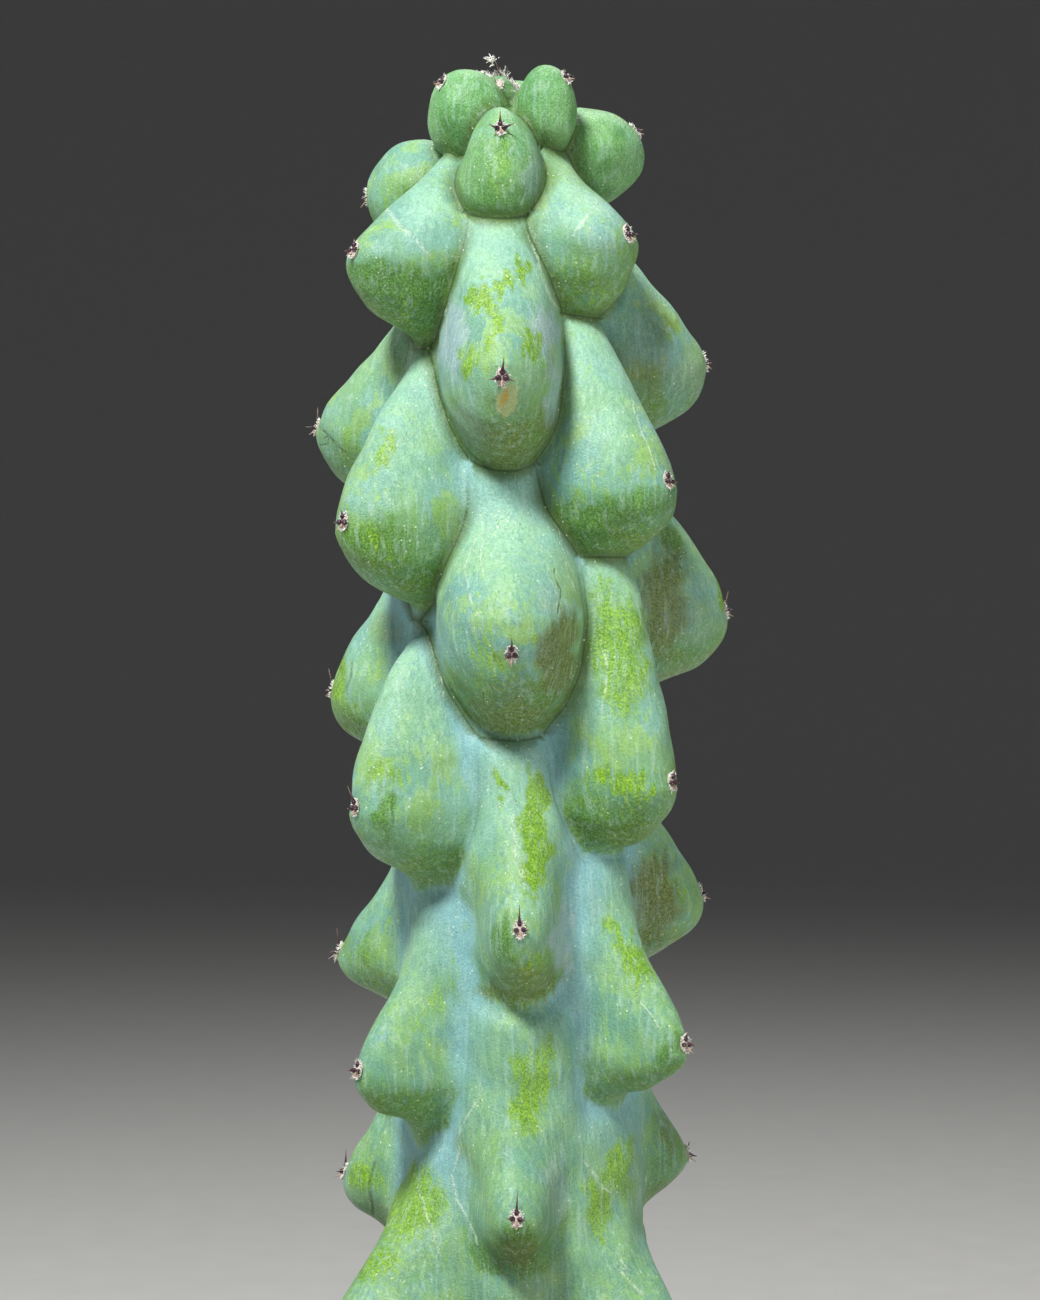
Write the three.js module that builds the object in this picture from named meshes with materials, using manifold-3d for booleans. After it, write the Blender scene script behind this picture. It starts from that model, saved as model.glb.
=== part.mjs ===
// Potted column cactus: one ribbed stem of hanging, breast-like tubercles with their areoles and
// spines, standing in a plain hole in the soil of a plain clay pot. Millimetres, +Z up.
import * as THREE from 'three';
import { mergeVertices } from 'three/addons/utils/BufferGeometryUtils.js';
import Module from 'manifold-3d';

const wasm = await Module();
wasm.setup();

// Pot
const POT_HEIGHT = 125;
const POT_TOP_R = 70;
const POT_FOOT_R = 47;
const RIM_HEIGHT = 18;
const RIM_STEP = 3.2;
const WALL = 5.5;
const FLOOR = 7;
const DRAIN_R = 8;
const POT_SIDES = 48;

// Soil
const SOIL_Z = 113;
const GAP = 0.3;
const FOOT_R = 19.6;
const FOOT_DEPTH = 45;

// Stem: a crown CROWN above the soil, and tubercles on a spiral of 2/7 of a turn, counted
// downwards from number 0, the first large one on the front rib
const RIBS = 7;
const TURN = (-2 * 2 * Math.PI) / RIBS;
const CROWN = 268;
const FIRST_DROP = 15.8;
const PITCH = 6.55;
const PITCH_GROWTH = 0.017;
const YOUNGEST = -10;
const LOWEST = 35;
const FULL_REACH = 37.6;
const FULL_WIDTH = 12.4;
const GROOVE_R = 18.2;
const RIDGE = 3;
const STEM_SIDES = 70;
const STEM_ROWS = 44;
const CROWN_ROWS = 13;
const FOOT_ROWS = 4;
const RAY_SLANT = (-33 * Math.PI) / 180;

// How far a tubercle's areole lies below its place on the spiral
const SLIP = {
  3: -2.3, 4: -5.7, 6: -0.8, 7: -1.5, 8: -1.7, 10: -3.8, 11: -3.2, 13: -1.1, 17: 2.5, 20: 3.4,
  25: -2.5, 27: 1.9, 28: 0.6, 29: -9.7, 31: 1.7, 32: -1.7, 33: -2, 34: -6, 35: -13,
};

// How far an areole stands out past the usual reach
const REACH = {
  3: -0.7, 4: 1.9, 6: 2.1, 8: -1.1, 10: 0.6, 11: 0.6, 13: 4.6, 15: -1.9, 17: -1.3, 18: -0.1,
  20: -2.1, 21: -1.5, 22: -2.7, 24: 1.1, 27: -4.4, 28: -1.5, 29: -3.8, 31: 1.3, 32: 9.3,
  33: -8, 34: -9, 35: -10,
};

// Tubercles with a form of their own: width, drop of the widest place, depth below it
const KNOB = {
  3: [12.2, 1.4, 15], 4: [11.4, 1.2, 14.8], 7: [11.9, -3, 20], 14: [14.2, -6.5, 22.8],
  15: [11.4, 1.2, 13], 17: [12, 0.8, 13.2], 18: [12.3, 0.8, 14], 20: [11.2, 1, 12.6],
  21: [8.8, 1, 14.4], 22: [9.7, 0.6, 9.6], 24: [7.2, 1.9, 9], 25: [7.8, 1.9, 9.4],
  27: [9, 0.6, 9.4], 28: [8.4, 0.6, 11], 29: [9, 1.2, 10.6], 33: [8.5, 1.8, 8.5],
  34: [8, 1.6, 8], 35: [8, 1.6, 8],
};

// How much of its width a tubercle's neck keeps, where it isn't the usual half
const NECK = { 14: 0.68, 17: 0.55, 18: 0.34, 21: 1.1, 28: 0.95 };

// How high some tubercles reach above their widest place
const TALL = { 3: 19.8, 4: 20.9, 5: 26.6, 14: 33, 17: 52 };

// How much more steeply than usual the outer face runs in above the areole
const LEAN = { 8: 0.28, 11: -0.08, 14: 0.28, 15: 0.06, 17: -0.36, 18: -0.27, 22: 0.1 };

// Young tubercles are eggs: drop of the areole from the crown, centre radius, half length
// outwards, half width, drop of the centre below the areole, depth, height, softness of the joint
const EGGS = {
  2: [29, 12, 9.3, 8.6, 6.5, 9, 15, 0.6],
  1: [23.6, 16.6, 9.6, 9.2, 0, 9.4, 10.6, 0.6],
  0: [13.9, 12.3, 9.8, 8.5, 9.6, 9.6, 14.6, 0.5],
  '-1': [11.2, 16, 11.8, 8.4, 3.8, 10.8, 7.9, 0.6],
  '-2': [7.2, 11.8, 8.7, 7.2, 4.2, 8, 8.4, 0.5],
  '-3': [3.8, 8.4, 7.2, 7.8, 5.3, 9.6, 8.2, 0.5],
  '-4': [3, 11.4, 5.7, 5.7, 5.1, 9, 8, 0.5],
  '-5': [3.8, 6.8, 4.9, 5.3, 3.8, 6.1, 6.5, 0.5],
  '-6': [3.4, 4.9, 4.2, 4.2, 3, 4.9, 5.3, 0.5],
  '-7': [3.8, 3.8, 3.2, 2.9, 2.7, 4.2, 4.6, 0.4],
  '-8': [4.2, 2.1, 2.3, 2.1, 1.9, 2.9, 3.2, 0.4],
  '-9': [4.4, 1.1, 1.5, 1.5, 1.3, 2.1, 2.3, 0.4],
  '-10': [4.6, 0.4, 1, 1, 1, 1.5, 1.7, 0.4],
};

// How much of its width the top of a pointed egg keeps
const POINTED = { 0: 0.75 };

const clamp = (x, a, b) => Math.min(Math.max(x, a), b);
const smooth = (x) => x * x * (3 - 2 * x);

function softMin(a, b, k) {
  const h = clamp(0.5 + (0.5 * (b - a)) / k, 0, 1);
  return b * (1 - h) + a * h - k * h * (1 - h);
}

// The stem leans and bends a little
const BEND = [[0, 0], [53, 0.2], [104, 0.95], [157, -0.55], [205, -2.3], [270, -2.85]];

function stemX(z) {
  const h = z - SOIL_Z;
  if (h <= 0) return 0;
  let i = 1;
  while (i < BEND.length - 1 && BEND[i][0] < h) i += 1;
  const [h0, x0] = BEND[i - 1];
  const [h1, x1] = BEND[i];
  return x0 + (x1 - x0) * clamp((h - h0) / (h1 - h0), 0, 1);
}

function makeTubercle(n) {
  const angle = TURN * n;
  const out = { n, sin: Math.sin(angle), cos: Math.cos(angle) };
  const place = (drop) => SOIL_Z + CROWN - drop;
  if (EGGS[n]) {
    const [drop, centre, length, width, below, depth, height, k] = EGGS[n];
    const z = place(drop);
    return { ...out, z, zc: z - below, centre, far: centre + length, width, depth, height, power: 2,
      slope: 0, line: centre + length + 12, crest: 0, neck: POINTED[n] || 1, k, ease: 0 };
  }
  const drop = FIRST_DROP + PITCH * n + PITCH_GROWTH * n * n + (SLIP[n] || 0);
  const z = place(drop);
  const age = clamp((n + 9.3) / 15.3, 0.03, 1);
  const ripe = clamp((drop - 7.6) / 53.2, 0, 1);
  const old = clamp((drop - 138.7) / 76, 0, 1);
  const reach = FULL_REACH * age + (REACH[n] || 0);
  const [width, below, depth] = KNOB[n] || [FULL_WIDTH * age ** 0.55, 1.2, 14.8 - 1.5 * old];
  const broad = n % RIBS === 0 || n % RIBS === 3;
  const height = TALL[n] || 15.2 + (broad ? 24 : 18.5) * ripe;
  const power = { 3: 2.4, 4: 2.4, 5: 3.5 }[n] || 3.5 + (broad ? 5 : 1) * ripe;
  const slope = 0.6 + 0.5 * clamp((70 - drop) / 33, 0, 1) + 0.22 * old + (LEAN[n] || 0);
  return { ...out, z, zc: z - below, centre: 11.8 + 1.5 * ripe, far: reach + 0.5, width, depth,
    height, power, slope, line: reach + 1.7, neck: NECK[n] || 0.5 + 0.4 * old,
    crest: 14 + 8.8 * clamp((drop - 30) / 80, 0, 1) + 0.8 * old,
    k: 0.45 + 0.6 * clamp((drop - 15.2) / 66.5, 0, 1) + 4 * old,
    ease: ripe * (n % RIBS === 0 ? 1 : 0.55) };
}

const tubercles = [];
for (let n = YOUNGEST; n <= LOWEST; n += 1) tubercles.push(makeTubercle(n));

// Distance to one tubercle: an ellipsoid below its widest place, and above it a taper whose outer
// face runs in to the neck
function tubercleDistance(t, x, y, z) {
  const rho = x * t.sin - y * t.cos;
  const side = x * t.cos + y * t.sin;
  const v = t.zc - z;
  const up = Math.max(-v, 0);
  let face = t.far;
  let dFace = 0;
  if (v < 0) {
    const line = t.line + t.slope * (v + Math.max(t.z - t.zc, 0));
    const h = clamp(0.5 + (0.5 * (t.far - line)) / 3.6, 0, 1);
    face = t.far * (1 - h) + line * h - 3.6 * h * (1 - h);
    dFace = h * t.slope;
  }
  const g = clamp(0.5 + (0.5 * (face - t.crest)) / 3.8, 0, 1);
  face = t.crest * (1 - g) + face * g + 3.8 * g * (1 - g);
  dFace *= g;
  const a = face - t.centre;
  const u = Math.min(up / t.height, 1);
  const bow = Math.sqrt(u * u + 0.03);
  const b = t.width * (1 - ((1 - t.neck) * (bow - 0.173)) / 0.842);
  const db = (t.width * (1 - t.neck) * u) / bow / 0.842 / t.height;
  const w = v > 0 ? (v / t.depth) ** 2 : (up / t.height) ** t.power;
  const dw = v > 0 ? (2 * w) / Math.max(v, 1e-4) : (-t.power * w) / Math.max(up, 1e-4);
  const p = (rho - t.centre) / a;
  const q = side / b;
  const s2 = p * p + q * q + w;
  const s = Math.sqrt(s2);
  const gv = dw - ((2 * p * p) / a) * dFace - ((2 * q * q) / b) * db;
  return (s * (s - 1)) / (0.5 * Math.hypot((2 * p) / a, (2 * q) / b, gv) + 1e-9);
}

// The trunk between the tubercles, with a low ridge down the middle of each rib
function trunkDistance(x, y, z) {
  const h = z - SOIL_Z;
  const crown = clamp((h - 201.5) / 62.7, 0, 1);
  const low = clamp((205 - h) / 85, 0, 1);
  const rib = (0.5 + 0.5 * Math.cos(RIBS * Math.atan2(x, -y))) ** 1.5;
  const ridge = rib * RIDGE * (1 - crown) * (1 - 0.6 * low) * clamp(h / 20, 0, 1);
  const radius = GROOVE_R - 11.8 * crown ** 1.6 + 3 * low + ridge;
  return Math.max(Math.hypot(x, y) - radius, h - 262.5, -FOOT_DEPTH - h);
}

function ripple(x, y, z) {
  return Math.sin(0.21 * x + 0.17 * z + 1.3) * Math.sin(0.24 * y - 0.11 * z + 0.4)
    + 0.6 * Math.sin(0.43 * x - 0.31 * y + 0.29 * z) * Math.sin(0.37 * y + 0.33 * x - 0.41 * z + 2);
}

// The stem: necks run softly into each other and the trunk, and the lower halves meet in creases
function stemDistance(x, y, z) {
  const dx = x - stemX(z);
  const near = [[1e3], [1e3], [1e3]];
  for (const t of tubercles) {
    if (Math.abs(t.zc - z) > 60) continue;
    const d = tubercleDistance(t, dx, y, z);
    if (d < near[2][0]) {
      near[2] = [d, t];
      near.sort((a, b) => a[0] - b[0]);
    }
  }
  let share = 0;
  let above = 0;
  let both = 0;
  let k = 0;
  for (const [d, t] of near) {
    if (!t) continue;
    const part = Math.exp(near[0][0] - d);
    share += part;
    const up = smooth(clamp((z - t.zc - 1) / 16, 0, 1)) * t.ease;
    above += part * up;
    both += part * Math.log(up + 0.02);
    k += part * t.k;
  }
  above /= share || 1;
  k = (k || 1) / (share || 1);
  const soft = k + 2.6 * Math.exp(both / (share || 1));
  const lobes = softMin(softMin(near[0][0], near[1][0], soft), near[2][0], soft);
  const trunk = trunkDistance(dx, y, z);
  return softMin(lobes, trunk, 0.8 + 0.9 * k + 4.5 * above) - 0.35 * ripple(x, y, z);
}

// Where a ray from the stem's axis last leaves the stem
function surfacePoint(z, rise, azimuth) {
  const x0 = stemX(z);
  const c = Math.cos(rise);
  const dir = [Math.sin(azimuth) * c, -Math.cos(azimuth) * c, Math.sin(rise)];
  let t = 60;
  for (let i = 0; i < 90; i += 1) {
    const d = stemDistance(x0 + dir[0] * t, dir[1] * t, z + dir[2] * t);
    t = Math.max(t - 0.8 * d, 0.5);
    if (Math.abs(d) < 0.01) break;
  }
  return new THREE.Vector3(x0 + dir[0] * t, dir[1] * t, z + dir[2] * t);
}

// The buried foot is round, so that it stands in a plain hole
function settle(p) {
  const h = p.z - SOIL_Z - 1.5;
  if (h > 6) return p;
  const r = Math.hypot(p.x, p.y);
  const taper = clamp((SOIL_Z - 30 - p.z) / 15, 0, 1);
  const round = FOOT_R * Math.sqrt(Math.max(1 - 0.5 * taper * taper, 0));
  const mix = smooth(clamp(h / 6, 0, 1));
  const want = (h <= 0 ? Math.min(r, round) : r * mix + round * (1 - mix)) / Math.max(r, 1e-6);
  p.x *= want;
  p.y *= want;
  p.z = Math.max(p.z, SOIL_Z - FOOT_DEPTH);
  return p;
}

function solid(geometry) {
  const g = geometry.clone();
  g.deleteAttribute('normal');
  g.deleteAttribute('uv');
  const m = mergeVertices(g, 1e-4);
  return new wasm.Manifold(new wasm.Mesh({
    numProp: 3,
    vertProperties: new Float32Array(m.attributes.position.array),
    triVerts: new Uint32Array(m.index.array),
  }));
}

function fromSolid(manifold) {
  const mesh = manifold.getMesh();
  const g = new THREE.BufferGeometry();
  g.setAttribute('position', new THREE.BufferAttribute(new Float32Array(mesh.vertProperties), 3));
  g.setIndex(new THREE.BufferAttribute(new Uint32Array(mesh.triVerts), 1));
  g.computeVertexNormals();
  return g;
}

function mesh(name, geometry, color, roughness) {
  const m = new THREE.Mesh(geometry, new THREE.MeshStandardMaterial({ color, roughness, metalness: 0 }));
  m.name = name;
  return m;
}

// Stem skin: a sphere grid carried out to the tubercles
function stemSkin() {
  const rows = CROWN_ROWS + STEM_ROWS + FOOT_ROWS;
  const g = new THREE.SphereGeometry(1, STEM_SIDES, rows);
  const pos = g.attributes.position;
  const topZ = SOIL_Z + CROWN - 17;
  const collarZ = SOIL_Z + 1.2 - FOOT_R * Math.tan(RAY_SLANT);
  const lowZ = SOIL_Z - FOOT_DEPTH + 16;
  for (let i = 0; i < pos.count; i += 1) {
    const column = i % (STEM_SIDES + 1);
    const row = Math.floor(i / (STEM_SIDES + 1));
    const azimuth = (2 * Math.PI * (column % STEM_SIDES)) / STEM_SIDES;
    const below = row - CROWN_ROWS - STEM_ROWS;
    let z = topZ;
    let rise = RAY_SLANT;
    if (row < CROWN_ROWS) {
      rise = Math.PI / 2 + (RAY_SLANT - Math.PI / 2) * (row / CROWN_ROWS);
    } else if (below > 0) {
      z = lowZ;
      rise = RAY_SLANT + (-Math.PI / 2 - RAY_SLANT) * ((below - 1) / (FOOT_ROWS - 1));
    } else {
      z = topZ + (collarZ - topZ) * ((row - CROWN_ROWS) / STEM_ROWS);
    }
    const p = settle(surfacePoint(z, rise, azimuth));
    if (row === 0 || row === rows) {
      p.x = stemX(p.z);
      p.y = 0;
    }
    pos.setXYZ(i, p.x, p.y, p.z);
  }
  return g;
}

function outward(p) {
  const e = 0.05;
  return new THREE.Vector3(
    stemDistance(p.x + e, p.y, p.z) - stemDistance(p.x - e, p.y, p.z),
    stemDistance(p.x, p.y + e, p.z) - stemDistance(p.x, p.y - e, p.z),
    stemDistance(p.x, p.y, p.z + e) - stemDistance(p.x, p.y, p.z - e),
  ).normalize();
}

// Areole: a felt pad with a spine up, a stub to each side and a short spine down
const SPINES = [[0, 2.9, 0.5], [112, 2.1, 0.5], [-112, 2.1, 0.5], [180, 1.7, 0.38]];

function areole(t, skin) {
  const far = new THREE.Vector3(stemX(t.z) + 90 * t.sin, -90 * t.cos, t.z);
  const ray = new THREE.Raycaster(far, new THREE.Vector3(-t.sin, t.cos, 0));
  const p = ray.intersectObject(skin)[0].point;
  const n = outward(surfacePoint(t.z, 0, Math.atan2(t.sin, t.cos)));
  const size = clamp(0.6 + 0.05 * (t.n + 7), 0.5, 1);
  const frame = new THREE.Matrix4();
  const right = new THREE.Vector3(0, 0, 1).cross(n).normalize();
  const up = n.clone().cross(right);
  frame.makeBasis(right, up, n).setPosition(p.clone().addScaledVector(n, -0.15));
  const pieces = [new THREE.SphereGeometry(1, 6, 2).rotateX(Math.PI / 2).scale(size, 1.65 * size, 0.75)];
  SPINES.forEach(([lean, length, radius]) => {
    const l = length * size;
    const cone = new THREE.ConeGeometry(radius * size, l + 0.5, 3);
    cone.translate(0, l / 2 - 0.1, 0);
    cone.rotateX(Math.PI * 0.24);
    cone.translate(0, 0.5 * size, 0.25);
    cone.rotateZ((lean * Math.PI) / 180);
    pieces.push(cone);
  });
  return pieces.map((g) => g.applyMatrix4(frame));
}

const skin = stemSkin();
const skinMesh = new THREE.Mesh(skin);
let stem = solid(skin);
tubercles.filter((t) => t.n >= -7).forEach((t) => {
  areole(t, skinMesh).forEach((g) => {
    stem = stem.add(solid(g));
  });
});

// Soil: a filled cup with a low, uneven top and a round hole for the stem
const spread = (POT_TOP_R - RIM_STEP - POT_FOOT_R) / (POT_HEIGHT - RIM_HEIGHT);
const wallIn = (z) => POT_FOOT_R - WALL + spread * z;
const holeR = FOOT_R + 0.7;
const holeZ = SOIL_Z - FOOT_DEPTH - GAP;
const soilTop = (r, a) => SOIL_Z + 0.9 * Math.sin(3 * a + r * 0.13) * Math.sin(r * 0.16)
  + 0.5 * Math.sin(7 * a - r * 0.3);
const soilRim = wallIn(SOIL_Z - 1) - GAP - 0.5;
const soilProfile = [
  [0, FLOOR + GAP], [wallIn(FLOOR) - GAP - 0.5, FLOOR + GAP], [soilRim, SOIL_Z - 1], [56, SOIL_Z],
  [48, SOIL_Z], [40, SOIL_Z], [33, SOIL_Z], [27, SOIL_Z], [holeR, SOIL_Z], [holeR, holeZ], [0, holeZ],
];
const soilGeometry = new THREE.LatheGeometry(
  soilProfile.map(([r, z]) => new THREE.Vector2(r, z)), POT_SIDES).rotateX(Math.PI / 2);
for (let i = 0; i < soilGeometry.attributes.position.count; i += 1) {
  const p = new THREE.Vector3().fromBufferAttribute(soilGeometry.attributes.position, i);
  const r = Math.hypot(p.x, p.y);
  if (Math.abs(p.z - SOIL_Z) < 0.01 && r > holeR + 0.5) {
    soilGeometry.attributes.position.setZ(i, soilTop(r, Math.atan2(p.y, p.x)));
  }
}

// Pot: a plain tapered clay pot with a banded rim and a drain hole
const band = POT_HEIGHT - RIM_HEIGHT;
const potProfile = [
  [DRAIN_R, 0], [POT_FOOT_R - 1.5, 0], [POT_FOOT_R, 1.5], [POT_TOP_R - RIM_STEP, band],
  [POT_TOP_R - 0.8, band], [POT_TOP_R, band + 0.8], [POT_TOP_R + 0.8, POT_HEIGHT - 1.5],
  [POT_TOP_R - 0.6, POT_HEIGHT], [POT_TOP_R - 5.4, POT_HEIGHT], [POT_TOP_R - 6.6, POT_HEIGHT - 1.5],
  [wallIn(band), band], [wallIn(FLOOR), FLOOR], [DRAIN_R, FLOOR], [DRAIN_R, 0],
];
const potGeometry = new THREE.LatheGeometry(
  potProfile.map(([r, z]) => new THREE.Vector2(r, z)), POT_SIDES).rotateX(Math.PI / 2);

const plant = new THREE.Group();
plant.add(mesh('cactus_stem', fromSolid(stem), 0x96c3a4, 0.6));
plant.add(mesh('soil', soilGeometry, 0x5a4636, 0.95));
plant.add(mesh('pot', potGeometry, 0xb5653f, 0.85));

export default plant;
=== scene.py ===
"""Potted column cactus: waxy stem, areoles, spines and crown wool, gritty soil and a clay pot."""
import math
from types import SimpleNamespace

import bpy
import numpy as np
from mathutils import Matrix, Vector


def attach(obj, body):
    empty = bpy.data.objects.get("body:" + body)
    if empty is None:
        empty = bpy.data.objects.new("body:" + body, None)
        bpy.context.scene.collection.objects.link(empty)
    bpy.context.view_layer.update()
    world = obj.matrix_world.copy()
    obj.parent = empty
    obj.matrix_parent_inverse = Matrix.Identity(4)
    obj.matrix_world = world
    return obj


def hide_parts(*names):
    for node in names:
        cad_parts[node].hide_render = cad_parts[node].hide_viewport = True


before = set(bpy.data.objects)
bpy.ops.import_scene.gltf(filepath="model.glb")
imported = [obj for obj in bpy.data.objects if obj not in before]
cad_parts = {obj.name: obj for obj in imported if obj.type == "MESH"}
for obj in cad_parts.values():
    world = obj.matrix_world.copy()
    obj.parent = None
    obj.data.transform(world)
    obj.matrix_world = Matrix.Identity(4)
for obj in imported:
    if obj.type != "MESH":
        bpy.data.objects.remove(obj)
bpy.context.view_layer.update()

# Sizes in millimetres, as in the CAD
MM = 0.001
POT_HEIGHT, POT_TOP_R, POT_FOOT_R = 125.0, 70.0, 47.0
RIM_HEIGHT, RIM_STEP, WALL, FLOOR, DRAIN_R = 18.0, 3.2, 5.5, 7.0, 8.0
SOIL_Z, FOOT_R, FOOT_DEPTH = 113.0, 19.6, 45.0
RIBS = 7
TURN = -4 * math.pi / RIBS
CROWN, FIRST_DROP, PITCH, PITCH_GROWTH = 268.0, 15.8, 6.55, 0.017
YOUNGEST, LOWEST = -10, 35
FULL_REACH, FULL_WIDTH, GROOVE_R, RIDGE = 37.6, 12.4, 18.2, 3.0

# How single tubercles differ from the rule, by number: how much lower and how much further out the
# areole lies
SLIP = {3: -2.3, 4: -5.7, 6: -0.8, 7: -1.5, 8: -1.7, 10: -3.8, 11: -3.2, 13: -1.1, 17: 2.5, 20: 3.4,
        25: -2.5, 27: 1.9, 28: 0.6, 29: -9.7, 31: 1.7, 32: -1.7, 33: -2, 34: -6, 35: -13}
REACH = {3: -0.7, 4: 1.9, 6: 2.1, 8: -1.1, 10: 0.6, 11: 0.6, 13: 4.6, 15: -1.9, 17: -1.3, 18: -0.1,
         20: -2.1, 21: -1.5, 22: -2.7, 24: 1.1, 27: -4.4, 28: -1.5, 29: -3.8, 31: 1.3, 32: 9.3,
         33: -8, 34: -9, 35: -10}
# Half width, how far the widest place lies under the areole, and the height of the rounded underside
KNOB = {3: (12.2, 1.4, 15.0), 4: (11.4, 1.2, 14.8), 7: (11.9, -3.0, 20.0), 14: (14.2, -6.5, 22.8),
        15: (11.4, 1.2, 13), 17: (12, 0.8, 13.2), 18: (12.3, 0.8, 14), 20: (11.2, 1, 12.6),
        21: (8.8, 1, 14.4), 22: (9.7, 0.6, 9.6), 24: (7.2, 1.9, 9), 25: (7.8, 1.9, 9.4), 27: (9, 0.6, 9.4),
        28: (8.4, 0.6, 11), 29: (9, 1.2, 10.6), 33: (8.5, 1.8, 8.5), 34: (8, 1.6, 8), 35: (8, 1.6, 8)}
# The neck's share of that width, its height, how square it is, and the outer face's added slope
NECK = {0: 0.75, 14: 0.68, 17: 0.55, 18: 0.34, 21: 1.1, 28: 0.95}
TALL = {3: 19.8, 4: 20.9, 5: 26.6, 14: 33, 17: 52}
SQUARE = {3: 2.4, 4: 2.4, 5: 3.5}
LEAN = {8: 0.28, 11: -0.08, 14: 0.28, 15: 0.06, 17: -0.36, 18: -0.27, 22: 0.1}
# The youngest tubercles: the areole's drop from the top, the middle's distance from the axis, half
# length and half width, the widest place under the areole, depth, height and how softly it joins
EGGS = {2: (29, 12, 9.3, 8.6, 6.5, 9, 15, 0.6), 1: (23.6, 16.6, 9.6, 9.2, 0, 9.4, 10.6, 0.6),
        0: (13.9, 12.3, 9.8, 8.5, 9.6, 9.6, 14.6, 0.5), -1: (11.2, 16, 11.8, 8.4, 3.8, 10.8, 7.9, 0.6),
        -2: (7.2, 11.8, 8.7, 7.2, 4.2, 8, 8.4, 0.5), -3: (3.8, 8.4, 7.2, 7.8, 5.3, 9.6, 8.2, 0.5),
        -4: (3, 11.4, 5.7, 5.7, 5.1, 9, 8, 0.5), -5: (3.8, 6.8, 4.9, 5.3, 3.8, 6.1, 6.5, 0.5),
        -6: (3.4, 4.9, 4.2, 4.2, 3, 4.9, 5.3, 0.5), -7: (3.8, 3.8, 3.2, 2.9, 2.7, 4.2, 4.6, 0.4),
        -8: (4.2, 2.1, 2.3, 2.1, 1.9, 2.9, 3.2, 0.4), -9: (4.4, 1.1, 1.5, 1.5, 1.3, 2.1, 2.3, 0.4),
        -10: (4.6, 0.4, 1, 1, 1, 1.5, 1.7, 0.4)}
# Heights above the soil and how far the stem's axis bends there
BEND_H = (0, 53, 104, 157, 205, 270)
BEND_X = (0, 0.2, 0.95, -0.55, -2.3, -2.85)

# How softly the outer face turns to its slope and to its crest, and how the neck's sides bow in
FACE_TURN, CREST_TURN = 3.6, 3.8
BOW, BOW_START, BOW_SPAN = 0.03, 0.173, 0.842
# The blocks of space that share their nearest tubercles
BLOCK = (11.0, 11.0, 9.0)
# Below this height the painted shade in the creases between tubercles fades, over this length
FOLD_Z, FOLD_FADE = 268.0, 44.0

# Areoles: younger ones than the first number have fewer hairs and no spines, older ones than the second
# have longer, slimmer spines; then the tones of a spine's point and of the long crown spine, by rings
FIRST_SPINY, OLD_SPINES = -5, 20
SIDES = 8
TIP_TONES = np.repeat((0, 0.05, 0.35), (1 + SIDES, SIDES, SIDES + 1))
LONG_TONES = np.repeat((0, 0.5, 0.6), (1 + 2 * SIDES, SIDES, 1))
HAIRS, FLECK_HAIRS = 520, 26

# The soil's stones: their size in millimetres and how many of them
STONES = (2.3, 90), (1.5, 420), (0.95, 1500)

# Camera: the photograph's own frame, seen level from the front
PHOTO_W, PHOTO_H = 1040, 1300
PIXEL = 0.19
CAMERA_X, CAMERA_Y, CAMERA_Z = 0.95, -755.0, 270.7
SENSOR = 36


# Helpers

def smooth(x):
    return x * x * (3 - 2 * x)


def grown(x, start, span):
    """how far x has come along the span, from 0 to 1"""
    return np.clip((x - start) / span, 0, 1)


def rise(x, start, span):
    """the same with a soft start and end"""
    return smooth(grown(x, start, span))


def soft_min(a, b, k):
    """the smaller of two distances, rounded where they are about k apart"""
    h = np.clip(0.5 + 0.5 * (b - a) / k, 0, 1)
    return b * (1 - h) + a * h - k * h * (1 - h)


def around(turn, radius, z):
    """points round Z at the angles of turn"""
    return np.stack(np.broadcast_arrays(radius * np.cos(turn), radius * np.sin(turn), z), -1)


def unit(v):
    """the same vectors with length 1"""
    return v / np.maximum(np.linalg.norm(v, axis=1, keepdims=True), 1e-9)


# The stem's form

def stem_x(z):
    return np.interp(z - SOIL_Z, BEND_H, BEND_X)


def tubercle(n):
    """the values of one tubercle, in the order of KEYS"""
    if n in EGGS:
        drop, centre, length, width, below, depth, height, k = EGGS[n]
        far, neck = centre + length, NECK.get(n, 1.0)
        line, power, slope, crest, ease = far + 12, 2.0, 0.0, 0.0, 0.0
    else:
        drop = FIRST_DROP + PITCH * n + PITCH_GROWTH * n * n + SLIP.get(n, 0)
        age = max(grown(n, -9.3, 15.3), 0.03)
        ripe, old = grown(drop, 7.6, 53.2), grown(drop, 138.7, 76)
        reach = FULL_REACH * age + REACH.get(n, 0)
        centre, far, line = 11.8 + 1.5 * ripe, reach + 0.5, reach + 1.7
        width, below, depth = KNOB.get(n, (FULL_WIDTH * age ** 0.55, 1.2, 14.8 - 1.5 * old))
        long_necked = n % RIBS in (0, 3)
        height = TALL.get(n, 15.2 + (24 if long_necked else 18.5) * ripe)
        power = SQUARE.get(n, 3.5 + (5 if long_necked else 1) * ripe)
        slope = 0.6 + 0.5 * grown(70 - drop, 0, 33) + 0.22 * old + LEAN.get(n, 0)
        crest = 14 + 8.8 * grown(drop, 30, 80) + 0.8 * old
        neck = NECK.get(n, 0.5 + 0.4 * old)
        k = 0.45 + 0.6 * grown(drop, 15.2, 66.5) + 4 * old
        ease = ripe * (1 if n % RIBS == 0 else 0.55)
    z = SOIL_Z + CROWN - drop
    form = centre, far, width, depth, height, power, slope, line, crest, neck, k, ease
    return n, TURN * n, z, z - below, *form


# Number, angle, z of the areole and of the widest place, then the form round them
KEYS = "n az z zc centre far width depth height power slope line crest neck k ease".split()
ALL = dict(zip(KEYS, np.array([tubercle(n) for n in range(YOUNGEST, LOWEST + 1)]).T))


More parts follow.
